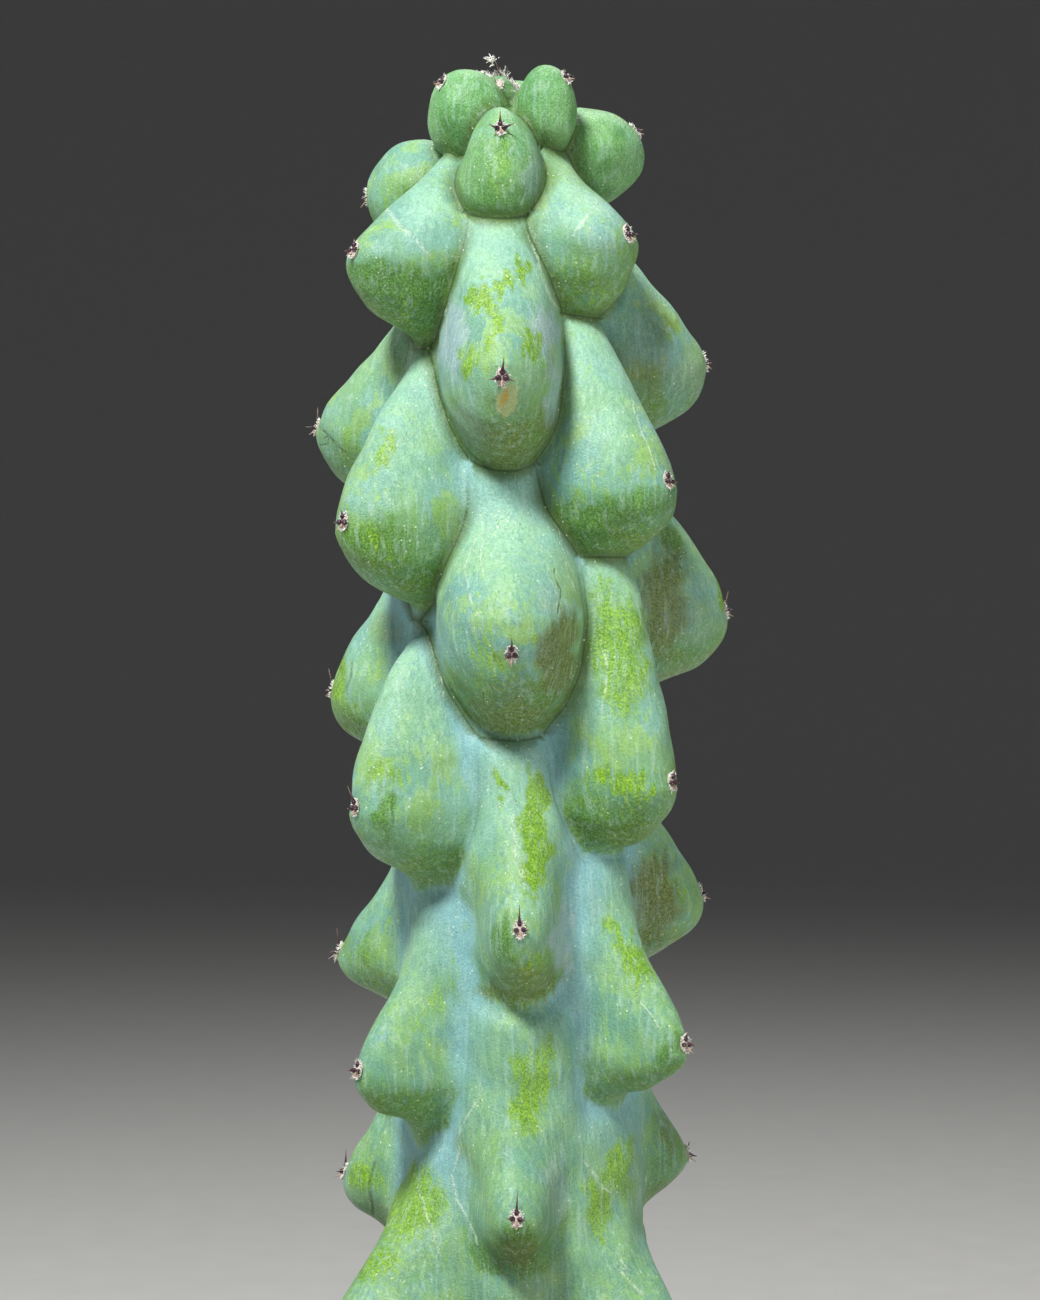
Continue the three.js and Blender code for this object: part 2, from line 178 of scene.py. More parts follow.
def tubercle_distances(x, y, z, pick):
    """distance to each picked tubercle: an ellipsoid below its widest place, a taper to the neck above"""
    t = SimpleNamespace(**{key: value[pick] for key, value in ALL.items()})
    sn, cs = np.sin(t.az), np.cos(t.az)
    rho = x[:, None] * sn - y[:, None] * cs
    side = x[:, None] * cs + y[:, None] * sn
    v = t.zc - z[:, None]
    up, down = np.maximum(-v, 0), np.maximum(v, 0)
    line = t.line + t.slope * (v + np.maximum(t.z - t.zc, 0))
    h = np.clip(0.5 + 0.5 * (t.far - line) / FACE_TURN, 0, 1)
    face = np.where(v > 0, t.far, t.far * (1 - h) + line * h - FACE_TURN * h * (1 - h))
    g = np.clip(0.5 + 0.5 * (face - t.crest) / CREST_TURN, 0, 1)
    face = t.crest * (1 - g) + face * g + CREST_TURN * g * (1 - g)
    d_face = np.where(v > 0, 0, h * t.slope) * g
    a = face - t.centre
    u = np.minimum(up / t.height, 1)
    bow = np.sqrt(u * u + BOW)
    b = t.width * (1 - (1 - t.neck) * (bow - BOW_START) / BOW_SPAN)
    db = t.width * (1 - t.neck) * u / bow / BOW_SPAN / t.height
    w = np.where(v > 0, (down / t.depth) ** 2, (up / t.height) ** t.power)
    dw = np.where(v > 0, 2 * w / np.maximum(down, 1e-4), -t.power * w / np.maximum(up, 1e-4))
    p, q = (rho - t.centre) / a, side / b
    s2 = p * p + q * q + w
    s = np.sqrt(s2)
    gv = dw - 2 * p * p / a * d_face - 2 * q * q / b * db
    return s * (s - 1) / (0.5 * np.sqrt((2 * p / a) ** 2 + (2 * q / b) ** 2 + gv * gv) + 1e-9)


def trunk_distance(dx, y, h):
    """distance to the fluted trunk between the tubercles"""
    crown = grown(h, 201.5, 62.7)
    low = grown(205 - h, 0, 85)
    rib = (0.5 + 0.5 * np.cos(RIBS * np.arctan2(dx, -y))) ** 1.5
    ridge = rib * RIDGE * (1 - crown) * (1 - 0.6 * low) * grown(h, 0, 20)
    wall = np.hypot(dx, y) - (GROOVE_R - 11.8 * crown ** 1.6 + 3 * low + ridge)
    return np.maximum(np.maximum(wall, h - 262.5), -FOOT_DEPTH - h)


def foot_distance(x, y, h):
    """distance to the stem's buried foot"""
    taper = grown(-h, 30, 15)
    return np.maximum(np.hypot(x, y) - FOOT_R * np.sqrt(1 - 0.5 * taper * taper), -FOOT_DEPTH - h)


def stem_distance(p, pick):
    """distance to the whole stem: the nearest tubercles, the trunk and the foot, softly joined"""
    x, y, z = p[:, 0], p[:, 1], p[:, 2]
    dx = x - stem_x(z)
    h = z - SOIL_Z
    d = tubercle_distances(dx, y, z, pick)
    i = np.argpartition(d, 2, axis=1)[:, :3]
    d3 = np.take_along_axis(d, i, 1)
    i = pick[i]
    share = np.exp(d3.min(1, keepdims=True) - d3)
    share /= share.sum(1, keepdims=True)
    up = rise(z[:, None] - ALL["zc"][i], 1, 16) * ALL["ease"][i]
    above, both = (share * up).sum(1), np.exp((share * np.log(up + 0.02)).sum(1))
    k = (share * ALL["k"][i]).sum(1)
    d3.sort(axis=1)
    mellow = 1.6 * grown(138 - h, 0, 36)
    soft = k + 2.6 * both + mellow
    body = soft_min(soft_min(d3[:, 0], d3[:, 1], soft), d3[:, 2], soft)
    ripple = (np.sin(0.21 * x + 0.17 * z + 1.3) * np.sin(0.24 * y - 0.11 * z + 0.4)
              + 0.6 * np.sin(0.43 * x - 0.31 * y + 0.29 * z) * np.sin(0.37 * y + 0.33 * x - 0.41 * z + 2))
    body = soft_min(body, trunk_distance(dx, y, h), 0.8 + 0.9 * k + 4.5 * above + mellow) - 0.35 * ripple
    mix = rise(h, 1.5, 6)
    return foot_distance(x, y, h) * (1 - mix) + body * mix


def near_tubercles(lo, hi):
    """the tubercles that can reach a block of space"""
    mid, half = (lo + hi) / 2, np.linalg.norm(hi - lo) / 2
    over = mid[2] - half - ALL["zc"] - ALL["height"] - 9
    under = ALL["zc"] - ALL["depth"] - 9 - mid[2] - half
    gap = np.maximum(np.maximum(over, under), 0)
    c = ALL["centre"] + 8
    d = np.hypot(mid[0] - c * np.sin(ALL["az"]), mid[1] + c * np.cos(ALL["az"]))
    ok = np.flatnonzero((gap <= 0) & (d < half + 34))
    return ok if len(ok) >= 3 else np.argsort(gap * 10 + d)[:3]


def blocks_of(points):
    """indices of the points, block by block, with the points and the tubercles near the block"""
    key = np.floor(points / BLOCK).astype(np.int64)
    code = (key + 50) @ (1000000, 1000, 1)
    order = np.argsort(code, kind="stable")
    for part in np.split(order, np.flatnonzero(np.diff(code[order])) + 1):
        p = points[part]
        yield part, p, near_tubercles(p.min(0), p.max(0))


def field_at(points):
    """distance to the stem for many points, below 0 inside it"""
    out = np.empty(len(points))
    for part, p, pick in blocks_of(points):
        out[part] = stem_distance(p, pick)
    return out


# The stem's mesh

def corner(grid, axis, a, b):
    """the grid's nodes shifted by a and b steps along its two other axes"""
    u, v = (axis + 1) % 3, (axis + 2) % 3
    cut = [slice(None)] * 3
    cut[u] = slice(a, grid.shape[u] - 1 + a)
    cut[v] = slice(b, grid.shape[v] - 1 + b)
    return grid[tuple(cut)]


def untangled(grid, h):
    """which nodes lie inside, with no node alone on its side and no face with only opposite corners inside"""
    inside = grid < 0
    for _ in range(3):
        for axis in range(3):
            near, right, up, far = (corner(inside, axis, *step) for step in ((0, 0), (1, 0), (0, 1), (1, 1)))
            crossed = (near == far) & (right == up) & (near != right)
            for part in (near, right, up, far):
                part |= crossed
    alone = np.ones(inside.shape, bool)
    for axis in range(3):
        for step in (-1, 1):
            alone &= np.roll(inside, step, axis) != inside
    inside ^= alone
    changed = inside != (grid < 0)
    grid[changed] = np.where(inside[changed], -0.05, 0.05) * h
    return inside


def surface_net(h):
    """a closed mesh of the stem's surface on a grid of step h"""
    lo = np.array([-43.0, -42.0, SOIL_Z - FOOT_DEPTH - 2])
    blocks = np.ceil((np.array([44.0, 40.0, SOIL_Z + CROWN + 3]) - lo) / (4 * h)).astype(int)
    ix = np.indices(blocks).reshape(3, -1).T
    mids = lo + (ix * 4 + 1.5) * h
    coarse = field_at(mids)
    grid = np.kron(coarse.reshape(blocks), np.ones((4, 4, 4)))
    active = ix[np.abs(coarse) < 3.2 * h + 2.2]
    sub = np.indices((4, 4, 4)).reshape(3, -1).T
    nodes = (active[:, None, :] * 4 + sub[None]).reshape(-1, 3)
    grid[tuple(nodes.T)] = field_at(lo + nodes * h)
    inside = untangled(grid, h)
    ends = np.array(inside.shape) - 1
    count = np.zeros(ends, np.int8)
    for a, b, c in np.ndindex(2, 2, 2):
        count += inside[a:ends[0] + a, b:ends[1] + b, c:ends[2] + c]
    cells = np.argwhere((count > 0) & (count < 8))
    total, hits = np.zeros((len(cells), 3)), np.zeros(len(cells))
    steps = np.eye(3, dtype=int)
    for axis, u, w in np.ndindex(3, 2, 2):
        a = u * steps[(axis + 1) % 3] + w * steps[(axis + 2) % 3]
        b = a + steps[axis]
        fa, fb = grid[tuple((cells + a).T)], grid[tuple((cells + b).T)]
        cross = (fa < 0) != (fb < 0)
        t = np.where(cross, fa / np.where(cross, fa - fb, 1), 0)
        total[cross] += (a + t[:, None] * (b - a))[cross]
        hits += cross
    verts = lo + (cells + total / hits[:, None]) * h
    index = np.full(count.shape, -1)
    index[tuple(cells.T)] = np.arange(len(cells))
    quads = []
    for axis in range(3):
        a, b = np.moveaxis(inside, axis, 0)[:-1], np.moveaxis(inside, axis, 0)[1:]
        e = np.argwhere(a != b)
        first = a[tuple(e.T)]
        e = e[:, np.argsort([axis, *[k for k in range(3) if k != axis]])]
        u, w = steps[(axis + 1) % 3], steps[(axis + 2) % 3]
        q = np.stack([index[tuple((e - step).T)] for step in (u + w, w, 0 * u, u)], 1)
        quads.append(np.where(first[:, None], q, q[:, ::-1]))
    return verts, np.concatenate(quads)


# Reading the stem's surface

def outward(points, step=0.06):
    """unit normals of the stem's surface"""
    g = [field_at(points + e) - field_at(points - e) for e in step * np.eye(3)]
    return unit(np.stack(g, 1))


def settle(points, rounds=2):
    """moves points onto the stem's surface, and gives their normals too"""
    for _ in range(rounds):
        n = outward(points)
        points = points - n * np.clip(field_at(points), -0.6, 0.6)[:, None]
    return points, n


def surface_facts(points):
    """for each point: its tubercle's number, how near the next tubercle is, the same with a sign that changes
    at the edge, how strongly its crease is painted dark as shade, and the place beside and below the areole"""
    facts = np.empty((6, len(points)))
    for part, p, pick in blocks_of(points):
        x, y, z = p[:, 0] - stem_x(p[:, 2]), p[:, 1], p[:, 2]
        d = tubercle_distances(x, y, z, pick)
        order = np.argsort(d, axis=1)[:, :2]
        gap = np.diff(np.take_along_axis(d, order, 1))[:, 0]
        best, next_best = pick[order].T
        edge = gap * np.where(best < next_best, 1, -1)
        # How strongly the crease is painted dark as shade: near the tubercles' bottoms, fading lower down
        low = [1 - grown(z - ALL["zc"][n], -4, 16) for n in (best, next_best)]
        crease_shade = np.maximum(*low) * (1 - grown(FOLD_Z - z, 0, FOLD_FADE))
        az = ALL["az"][best]
        facts[:, part] = ALL["n"][best], gap, edge, crease_shade, x * np.cos(az) + y * np.sin(az), ALL["z"][best] - z
    return facts


def seen_at(points):
    """column and row of the photograph where the camera sees each point"""
    near = CAMERA_Y / (CAMERA_Y - points[:, 1])
    col = PHOTO_W / 2 + (points[:, 0] - CAMERA_X) * near / PIXEL
    row = PHOTO_H / 2 - (points[:, 2] - CAMERA_Z) * near / PIXEL
    return col, row


# Marks on the skin, placed where the photograph shows them: the tubercle's number, the column and row of
# the mark, its half width and half height in pixels, its strength and, where it leans, its tilt in degrees
RUBS = (
    (7, 483, 298, 15, 14, 1.2), (7, 505, 285, 13, 11, 1.1), (7, 519, 271, 11, 12, 1.1),
    (7, 494, 324, 6, 26, 0.9, 15), (7, 471, 362, 10, 20, 0.9, 20), (7, 533, 346, 9, 22, 1.0, -30),
    (14, 488, 668, 24, 46, 0.6), (0, 500, 165, 10, 34, 0.8), (3, 601, 293, 11, 9, 0.75),
    (4, 408, 312, 15, 14, 0.65), (4, 385, 225, 14, 9, 0.4, 40), (11, 385, 450, 11, 26, 0.85, 10),
    (11, 378, 543, 12, 14, 0.6), (10, 640, 537, 12, 9, 0.6), (17, 618, 650, 38, 80, 0.9, -8),
    (17, 617, 780, 35, 11, 0.85), (17, 634, 790, 22, 13, 1.0), (18, 395, 772, 32, 18, 0.6),
    (21, 535, 832, 15, 66, 1.25), (21, 500, 784, 4, 18, 1.0), (21, 525, 968, 22, 16, 0.7),
    (20, 670, 890, 22, 10, 0.8), (24, 632, 958, 15, 36, 0.95, -25), (24, 610, 925, 10, 26, 0.7, -15),
    (28, 528, 1092, 22, 48, 0.9), (31, 620, 1168, 20, 34, 0.8), (32, 400, 1200, 52, 50, 0.9, -30),
    (32, 372, 1262, 34, 22, 0.8, -30), (31, 598, 1210, 16, 42, 0.8, -15), (28, 545, 1062, 14, 30, 0.8),
    (25, 446, 985, 14, 44, 0.5, 12), (14, 540, 640, 9, 26, 0.45), (25, 420, 1030, 22, 26, 0.45, 20),
    (8, 352, 405, 10, 22, 0.4, 15), (6, 668, 330, 14, 26, 0.5, -30),
)
DEEPS = (
    (4, 375, 300, 36, 42, 0.9), (11, 380, 556, 50, 38, 0.75), (18, 386, 818, 13, 28, 0.9),
    (3, 600, 290, 36, 26, 0.45), (10, 640, 524, 46, 30, 0.7), (7, 512, 458, 34, 18, 0.6),
    (14, 500, 716, 38, 22, 0.75), (21, 504, 946, 15, 30, 0.9), (28, 520, 1240, 24, 20, 0.9),
    (24, 674, 1052, 18, 24, 0.8), (0, 488, 195, 20, 26, 0.6), (22, 355, 950, 24, 28, 0.5),
    (17, 636, 810, 30, 30, 0.5), (27, 668, 1160, 22, 40, 0.6), (25, 375, 1095, 26, 22, 0.6),
    (32, 400, 1270, 40, 24, 0.5),
)
# Lilac marks: the bloom's lilac sheen, a painted reflection on the shaded right flanks
LILAC_REFLECTIONS = (
    (7, 543, 328, 18, 26, 0.8, -25), (7, 452, 335, 16, 50, 0.8), (7, 556, 395, 12, 44, 0.7),
    (7, 470, 425, 22, 34, 0.5), (0, 535, 178, 13, 36, 0.8), (14, 552, 600, 18, 30, 0.45),
    (21, 562, 940, 12, 44, 0.8), (6, 684, 372, 30, 40, 0.4), (13, 700, 610, 30, 50, 0.35),
    (3, 600, 240, 22, 20, 0.4), (28, 556, 1190, 16, 44, 0.5), (10, 590, 430, 14, 60, 0.3, 10),
)
# Olive marks: painted shade under the tubercles' bottoms and on their shaded right flanks, with some
# olive-brown patches
OLIVE_AND_SHADE_MARKS = (
    (14, 558, 655, 22, 44, 1.1, 8), (7, 512, 462, 34, 14, 0.6), (14, 500, 712, 40, 20, 0.8),
    (21, 505, 988, 28, 14, 0.7), (28, 512, 1255, 26, 16, 0.8), (20, 655, 900, 26, 50, 1.0),
    (13, 664, 600, 26, 66, 0.9), (7, 549, 432, 14, 30, 0.6), (0, 541, 150, 8, 22, 0.5),
    (21, 545, 984, 20, 18, 0.7), (27, 668, 1130, 12, 30, 0.6), (6, 648, 350, 30, 60, 0.6),
    (14, 520, 722, 30, 12, 0.5),
)
# Pale marks: paler bloom and the flaky ring above an areole, with painted highlights on the lit upper necks
PALE_BLOOM_AND_HIGHLIGHTS = (
    (21, 524, 908, 20, 9, 0.9), (28, 510, 1180, 7, 16, 0.7), (24, 652, 1018, 18, 24, 0.4),
    (7, 500, 240, 26, 24, 0.5), (14, 505, 560, 36, 44, 0.5), (3, 575, 205, 22, 34, 0.6, -20),
    (4, 425, 205, 26, 30, 0.7, 30), (11, 405, 460, 26, 50, 0.5), (10, 610, 430, 24, 46, 0.5),
    (18, 420, 680, 24, 46, 0.5), (14, 572, 612, 8, 8, 1.0),
)
SCAR = (7, 507, 400, 9, 14, 15)
# Where an oval's paint ends, in half widths from its middle
OVAL_END = 1.45

# Thin pale lines: the tubercle's number, half the line's width in millimetres and its points
PALE_LINES = (
    (4, 0.4, 387, 209, 406, 229, 426, 252), (3, 0.35, 596, 202, 588, 218, 575, 234),
    (7, 0.3, 529, 234, 540, 270, 557, 308), (14, 0.22, 474, 536, 466, 570, 470, 606),
    (14, 0.18, 488, 520, 480, 548, 484, 575), (18, 0.22, 430, 636, 438, 665, 445, 700),
    (21, 0.5, 512, 818, 517, 850, 522, 882),
    (28, 0.25, 480, 1093, 462, 1130, 452, 1177, 462, 1212, 477, 1243),
    (32, 0.25, 420, 1190, 428, 1222, 440, 1253), (31, 0.25, 583, 1160, 594, 1174, 610, 1193),
    (31, 0.2, 617, 1253, 624, 1262, 630, 1270), (28, 0.2, 503, 1247, 512, 1252),
    (18, 0.2, 402, 640, 396, 662, 404, 690), (17, 0.25, 600, 622, 606, 668, 604, 710),
    (0, 0.2, 525, 190, 520, 205), (31, 0.3, 618, 1268, 640, 1292), (24, 0.2, 640, 1000, 662, 1034),
    (10, 0.2, 632, 404, 646, 436, 654, 466), (7, 0.2, 452, 250, 446, 300, 444, 345),
    (14, 0.2, 548, 500, 560, 540, 575, 590),
)
# Thin creases painted dark as their shade, in the same columns
DARK_LINES = (
    (8, 0.25, 318, 425, 332, 438, 345, 452), (8, 0.2, 322, 446, 336, 442),
    (13, 0.25, 664, 540, 670, 553, 681, 566), (29, 0.3, 373, 1160, 371, 1186, 374, 1212),
    (13, 0.2, 668, 562, 684, 552), (14, 0.2, 556, 571, 560, 592, 557, 616), (15, 0.2, 352, 660, 346, 690),
    (22, 0.2, 352, 900, 344, 930),
)

# Edges where the waxy skin above ends and greener skin begins below
EDGES = (
    (11, 340, 500, 362, 497, 384, 508, 404, 510, 426, 496),
    (10, 596, 506, 620, 492, 650, 486, 676, 480),
    (18, 352, 790, 380, 762, 410, 770, 440, 756),
    (17, 580, 772, 612, 764, 640, 774, 672, 760),
    (4, 350, 262, 378, 258, 404, 262, 430, 276),
)

# Marks on the hidden sides: their kinds and strengths, then the ranges of how far beside and below
# the areole they lie, and of their half width and half height in millimetres
HIDDEN_KINDS = (("rub", 0.95), ("rub", 0.8), ("deep", 0.8), ("lilac_reflection", 0.7), ("olive_and_shade", 0.5), ("pale", 0.5))
HIDDEN_SPANS = (-8, 8), (-22, 12), (1.2, 4.5), (1.6, 8)
HIDDEN_TILT = 35


def in_oval(u, v, cu, cv, hu, hv, tilt=0):
    """each point's place in a tilted oval, whose edge lies 1 from its middle"""
    cos, sin = math.cos(math.radians(tilt)), math.sin(math.radians(tilt))
    return ((u - cu) * cos + (v - cv) * sin) / hu, ((v - cv) * cos - (u - cu) * sin) / hv


def stamp(values, u, v, mark, where):
    """paints a soft-edged oval into the values"""
    cu, cv, hu, hv, much, *tilt = mark
    inside = np.clip(OVAL_END - np.hypot(*in_oval(u, v, cu, cv, hu, hv, *tilt)), 0, 1)
    np.maximum(values, np.where(where, smooth(inside) * much, 0), out=values)


def line_distance(u, v, points):
    """signed distance to a bent, slightly wavering line in pixels, large beyond its ends"""
    u, v = u + 1.5 * np.sin(v / 11) + 0.7 * np.sin(v / 5 + u / 9), v + 1.2 * np.sin(u / 8)
    best = np.full(len(u), 1e3)
    for u0, v0, u1, v1 in zip(*(points[k::2] for k in range(4))):
        du, dv = u1 - u0, v1 - v0
        long = math.hypot(du, dv)
        along = ((u - u0) * du + (v - v0) * dv) / long
        across = ((u - u0) * dv - (v - v0) * du) / long
        over = np.maximum(np.maximum(-along, along - long), 0)
        d = np.sign(across) * np.hypot(across, over)
        best = np.where(np.abs(d) < np.abs(best), d, best)
    return best


def skin_marks(points, normals):
    """the skin's painted values at each point"""
    lobe, gap, edge, crease_shade, side, down = surface_facts(points)
    col, row = seen_at(points)
    x, y, z = points.T
    front = normals[:, 1] < 0.25
    rng = np.random.default_rng(5)
    luck = rng.random((LOWEST - YOUNGEST + 1, 6))[(lobe - YOUNGEST).astype(int)]

    def on(n, reach=0.5):
        return (np.abs(lobe - n) < reach) & front

    # What follows from the place on the tubercle alone
    young = grown(3 - lobe, 0, 5)
    under = rise(-normals[:, 2], 0.1, 0.8)
    facing_down = rise(-normals[:, 2], 0.02, 0.35)
    high = grown(z - SOIL_Z, 175, 40)
    r = np.hypot(x - stem_x(z), y)
    out = {
        "deep": rise(down + 5 + 3 * luck[:, 0], 0, 17) * (0.6 + 0.35 * luck[:, 1]),
        "rub": 0.12 + 0.2 * luck[:, 2] * (1 - young),
        # lilac: a painted reflection of the bloom on each tubercle's right side
        "lilac_reflection": 0.16 * luck[:, 3] * rise(side, -2, 9),
        # olive: random olive-brown patches, and painted shade on the undersides that face down
        "olive_and_shade": 0.1 * luck[:, 4] + under * np.where(lobe % RIBS == 0, 0.75, 0.35) * (1 - young),
        "edge": np.clip(edge, -6, 6),
        "gap": np.clip(gap, 0, 6),
        "crease_shade": crease_shade,
        "young": young,
        # painted shade: the light's falloff, darker towards the bottom
        "lower_falloff": rise(262 - z, 0, 70),
        # pale: paler bloom above each areole, with a painted highlight where the upper necks face the light
        "pale": rise(-down, 1, 22) * 0.6 * (1 - young),
        "valley": rise(26.5 - r, 0, 6) * (1 - high) * (1 - facing_down),
    }
    # What the photograph shows, with brushed edges
    brush_col = col + 4 * np.sin(row / 9.3 + 1) + 2.5 * np.sin(row / 4.1 + col / 13)
    brush_row = row + 6 * np.sin(col * 0.55 + 0.3 * np.sin(row / 17)) + 4 * np.sin(col * 1.3 + 2)
    for key, marks in (("rub", RUBS), ("deep", DEEPS), ("lilac_reflection", LILAC_REFLECTIONS), ("olive_and_shade", OLIVE_AND_SHADE_MARKS), ("pale", PALE_BLOOM_AND_HIGHLIGHTS)):
        for n, *mark in marks:
            stamp(out[key], brush_col, brush_row, mark, on(n))
    for n, *route in EDGES:
        u, v = route[::2], route[1::2]
        below = row - np.interp(col, u, v) - 3 * np.sin(col / 6.1) - 2 * np.sin(col / 2.7)
        greener = 0.34 * np.clip(below / 3 + 0.5, 0, 1) * np.clip(1 - below / 70, 0, 1)
        out["deep"] += np.where(on(n), greener, 0)
    out["deep"] *= 1 - 0.85 * out["valley"]
    # What is drawn at random where no mark is placed
    hidden = ~np.any([on(mark[0]) for mark in RUBS + DEEPS], axis=0)
    for n in range(1, LOWEST + 1):
        here = hidden & (np.abs(lobe - n) < 0.5)
        for kind, much in HIDDEN_KINDS:
            mark = [rng.uniform(*span) for span in HIDDEN_SPANS]
            stamp(out[kind], side, down, (*mark, much, rng.uniform(-HIDDEN_TILT, HIDDEN_TILT)), here)
    inner = rise(gap, 0, 0.8)
    for key in ("rub", "deep", "lilac_reflection", "olive_and_shade", "pale", "young"):
        out[key] *= inner
    n, *oval = SCAR
    a, b = in_oval(col, row, *oval)
    out["scar"] = np.where(on(n), 1 - np.clip(np.hypot(a, b), 0, 3), -2)
    out["scar_core"] = np.where(on(n), 1 - np.clip(np.hypot((a + 0.3) * 2, (b + 0.1) * 1.2), 0, 3), -2)
    for key, lines in (("pale_line", PALE_LINES), ("dark_line", DARK_LINES)):
        best = np.full(len(points), 9.0)
        for n, half, *route in lines:
            d = line_distance(col, row, route) * PIXEL / half
            best = np.where(on(n, 1.5) & (np.abs(d) < np.abs(best)), d, best)
        out[key] = best
        out[key + "_near"] = np.clip(1 - np.abs(best) / 8, 0, 1)
    return out


# Meshes

def link(name, data):
    """a new object in the scene"""
    made = bpy.data.objects.new(name, data)
    bpy.context.scene.collection.objects.link(made)
    return made


def build(name, verts, faces, material, slot, values={}):
    """a smooth mesh object from millimetres, riding on the root body when a slot is given"""
    mesh = bpy.data.meshes.new(name)
    mesh.from_pydata((verts * MM).tolist(), [], faces.tolist())
    mesh.shade_smooth()
    for key, value in values.items():
        attribute = mesh.attributes.new(key, "FLOAT", "POINT")
        attribute.data.foreach_set("value", value.astype(np.float32))
    mesh.materials.append(material)
    piece = link(name, mesh)
    if slot:
        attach(piece, "root")
    return piece


def build_parts(name, parts, material, slot):
    """one mesh object from many parts, each with its verts, its faces and its tone"""
    verts, faces, tones = zip(*parts)
    starts = np.cumsum([0, *map(len, verts)])
    faces = np.concatenate([f + start for f, start in zip(faces, starts)])
    tones = np.concatenate([np.broadcast_to(tone, len(v)) for v, tone in zip(verts, tones)])
    build(name, np.concatenate(verts), faces, material, slot, {"tone": tones})


def tapers(starts, mids, ends, radii, sides):
    """closed, bent tapers, one for each start: rings at the start, the middle and near the end"""
    starts, mids, ends = (np.atleast_2d(p) for p in (starts, mids, ends))
    axis = unit(ends - starts)
    helper = np.where(np.abs(axis[:, 2:]) < 0.9, [[0, 0, 1.0]], [[1.0, 0, 0]])
    u = unit(np.cross(axis, helper))
    w = np.cross(axis, u)
    turn = (2 * np.pi * np.arange(sides) / sides)[:, None]
    circle = u[:, None] * np.cos(turn) + w[:, None] * np.sin(turn)
    rings = [centre[:, None] + circle * radius for centre, radius in zip((starts, mids, ends), radii)]
    base = (starts - axis * radii[0] * 0.5)[:, None]
    tip = (ends + axis * radii[2])[:, None]
    verts = np.concatenate([base, *rings, tip], axis=1)
    size, last = 3 * sides + 2, 2 * sides + 1
    k = np.arange(sides)
    after = (k + 1) % sides
    faces = [(0 * k, 1 + after, 1 + k), (0 * k + size - 1, last + k, last + after)]
    for first in (1, 1 + sides):
        a, b = first + k, first + after
        faces += [(a, b, b + sides), (a, b + sides, a + sides)]
    faces = np.concatenate(faces, 1).T + size * np.arange(len(starts))[:, None, None]
    return verts.reshape(-1, 3), faces.reshape(-1, 3)


def ball(rings, sides):
    """a closed unit ball of triangles"""
    verts = [(0, 0, 1)]
    for i in range(1, rings):
        a = math.pi * i / rings
        for j in range(sides):
            b = 2 * math.pi * (j + 0.5 * (i % 2)) / sides
            verts.append((math.sin(a) * math.cos(b), math.sin(a) * math.sin(b), math.cos(a)))
    verts.append((0, 0, -1))
    faces = []
    for j in range(sides):
        k = (j + 1) % sides
        faces.append((0, 1 + j, 1 + k))
        last = 1 + (rings - 2) * sides
        faces.append((len(verts) - 1, last + k, last + j))
        for i in range(rings - 2):
            a, b = 1 + i * sides + j, 1 + i * sides + k
            if i % 2 == 0:
                faces += [(a, a + sides, b), (b, a + sides, b + sides)]
            else:
                faces += [(a, a + sides, b + sides), (a, b + sides, b)]
    return np.array(verts, float), np.array(faces)


def lathe(profile, sides, wave):
    """quads turned round Z from an outline that closes on itself, with its verts moved by the wave"""
    profile = np.asarray(profile, float)
    turn = 2 * np.pi * np.arange(sides) / sides
    verts = wave(around(turn, profile[:, :1], profile[:, 1:]), turn)
    i, j = np.indices((len(profile), sides))
    row, row_after = i * sides, (i + 1) % len(profile) * sides
    after = (j + 1) % sides
    faces = np.stack([row + j, row + after, row_after + after, row_after + j], -1)
    return verts.reshape(-1, 3), faces.reshape(-1, 4)


# Materials

def rgb(red, green, blue):
    """a colour given as 0 to 255 on screen"""
    linear = [((c / 255 + 0.055) / 1.055) ** 2.4 if c > 10 else c / 3295 for c in (red, green, blue)]
    return (*linear, 1.0)


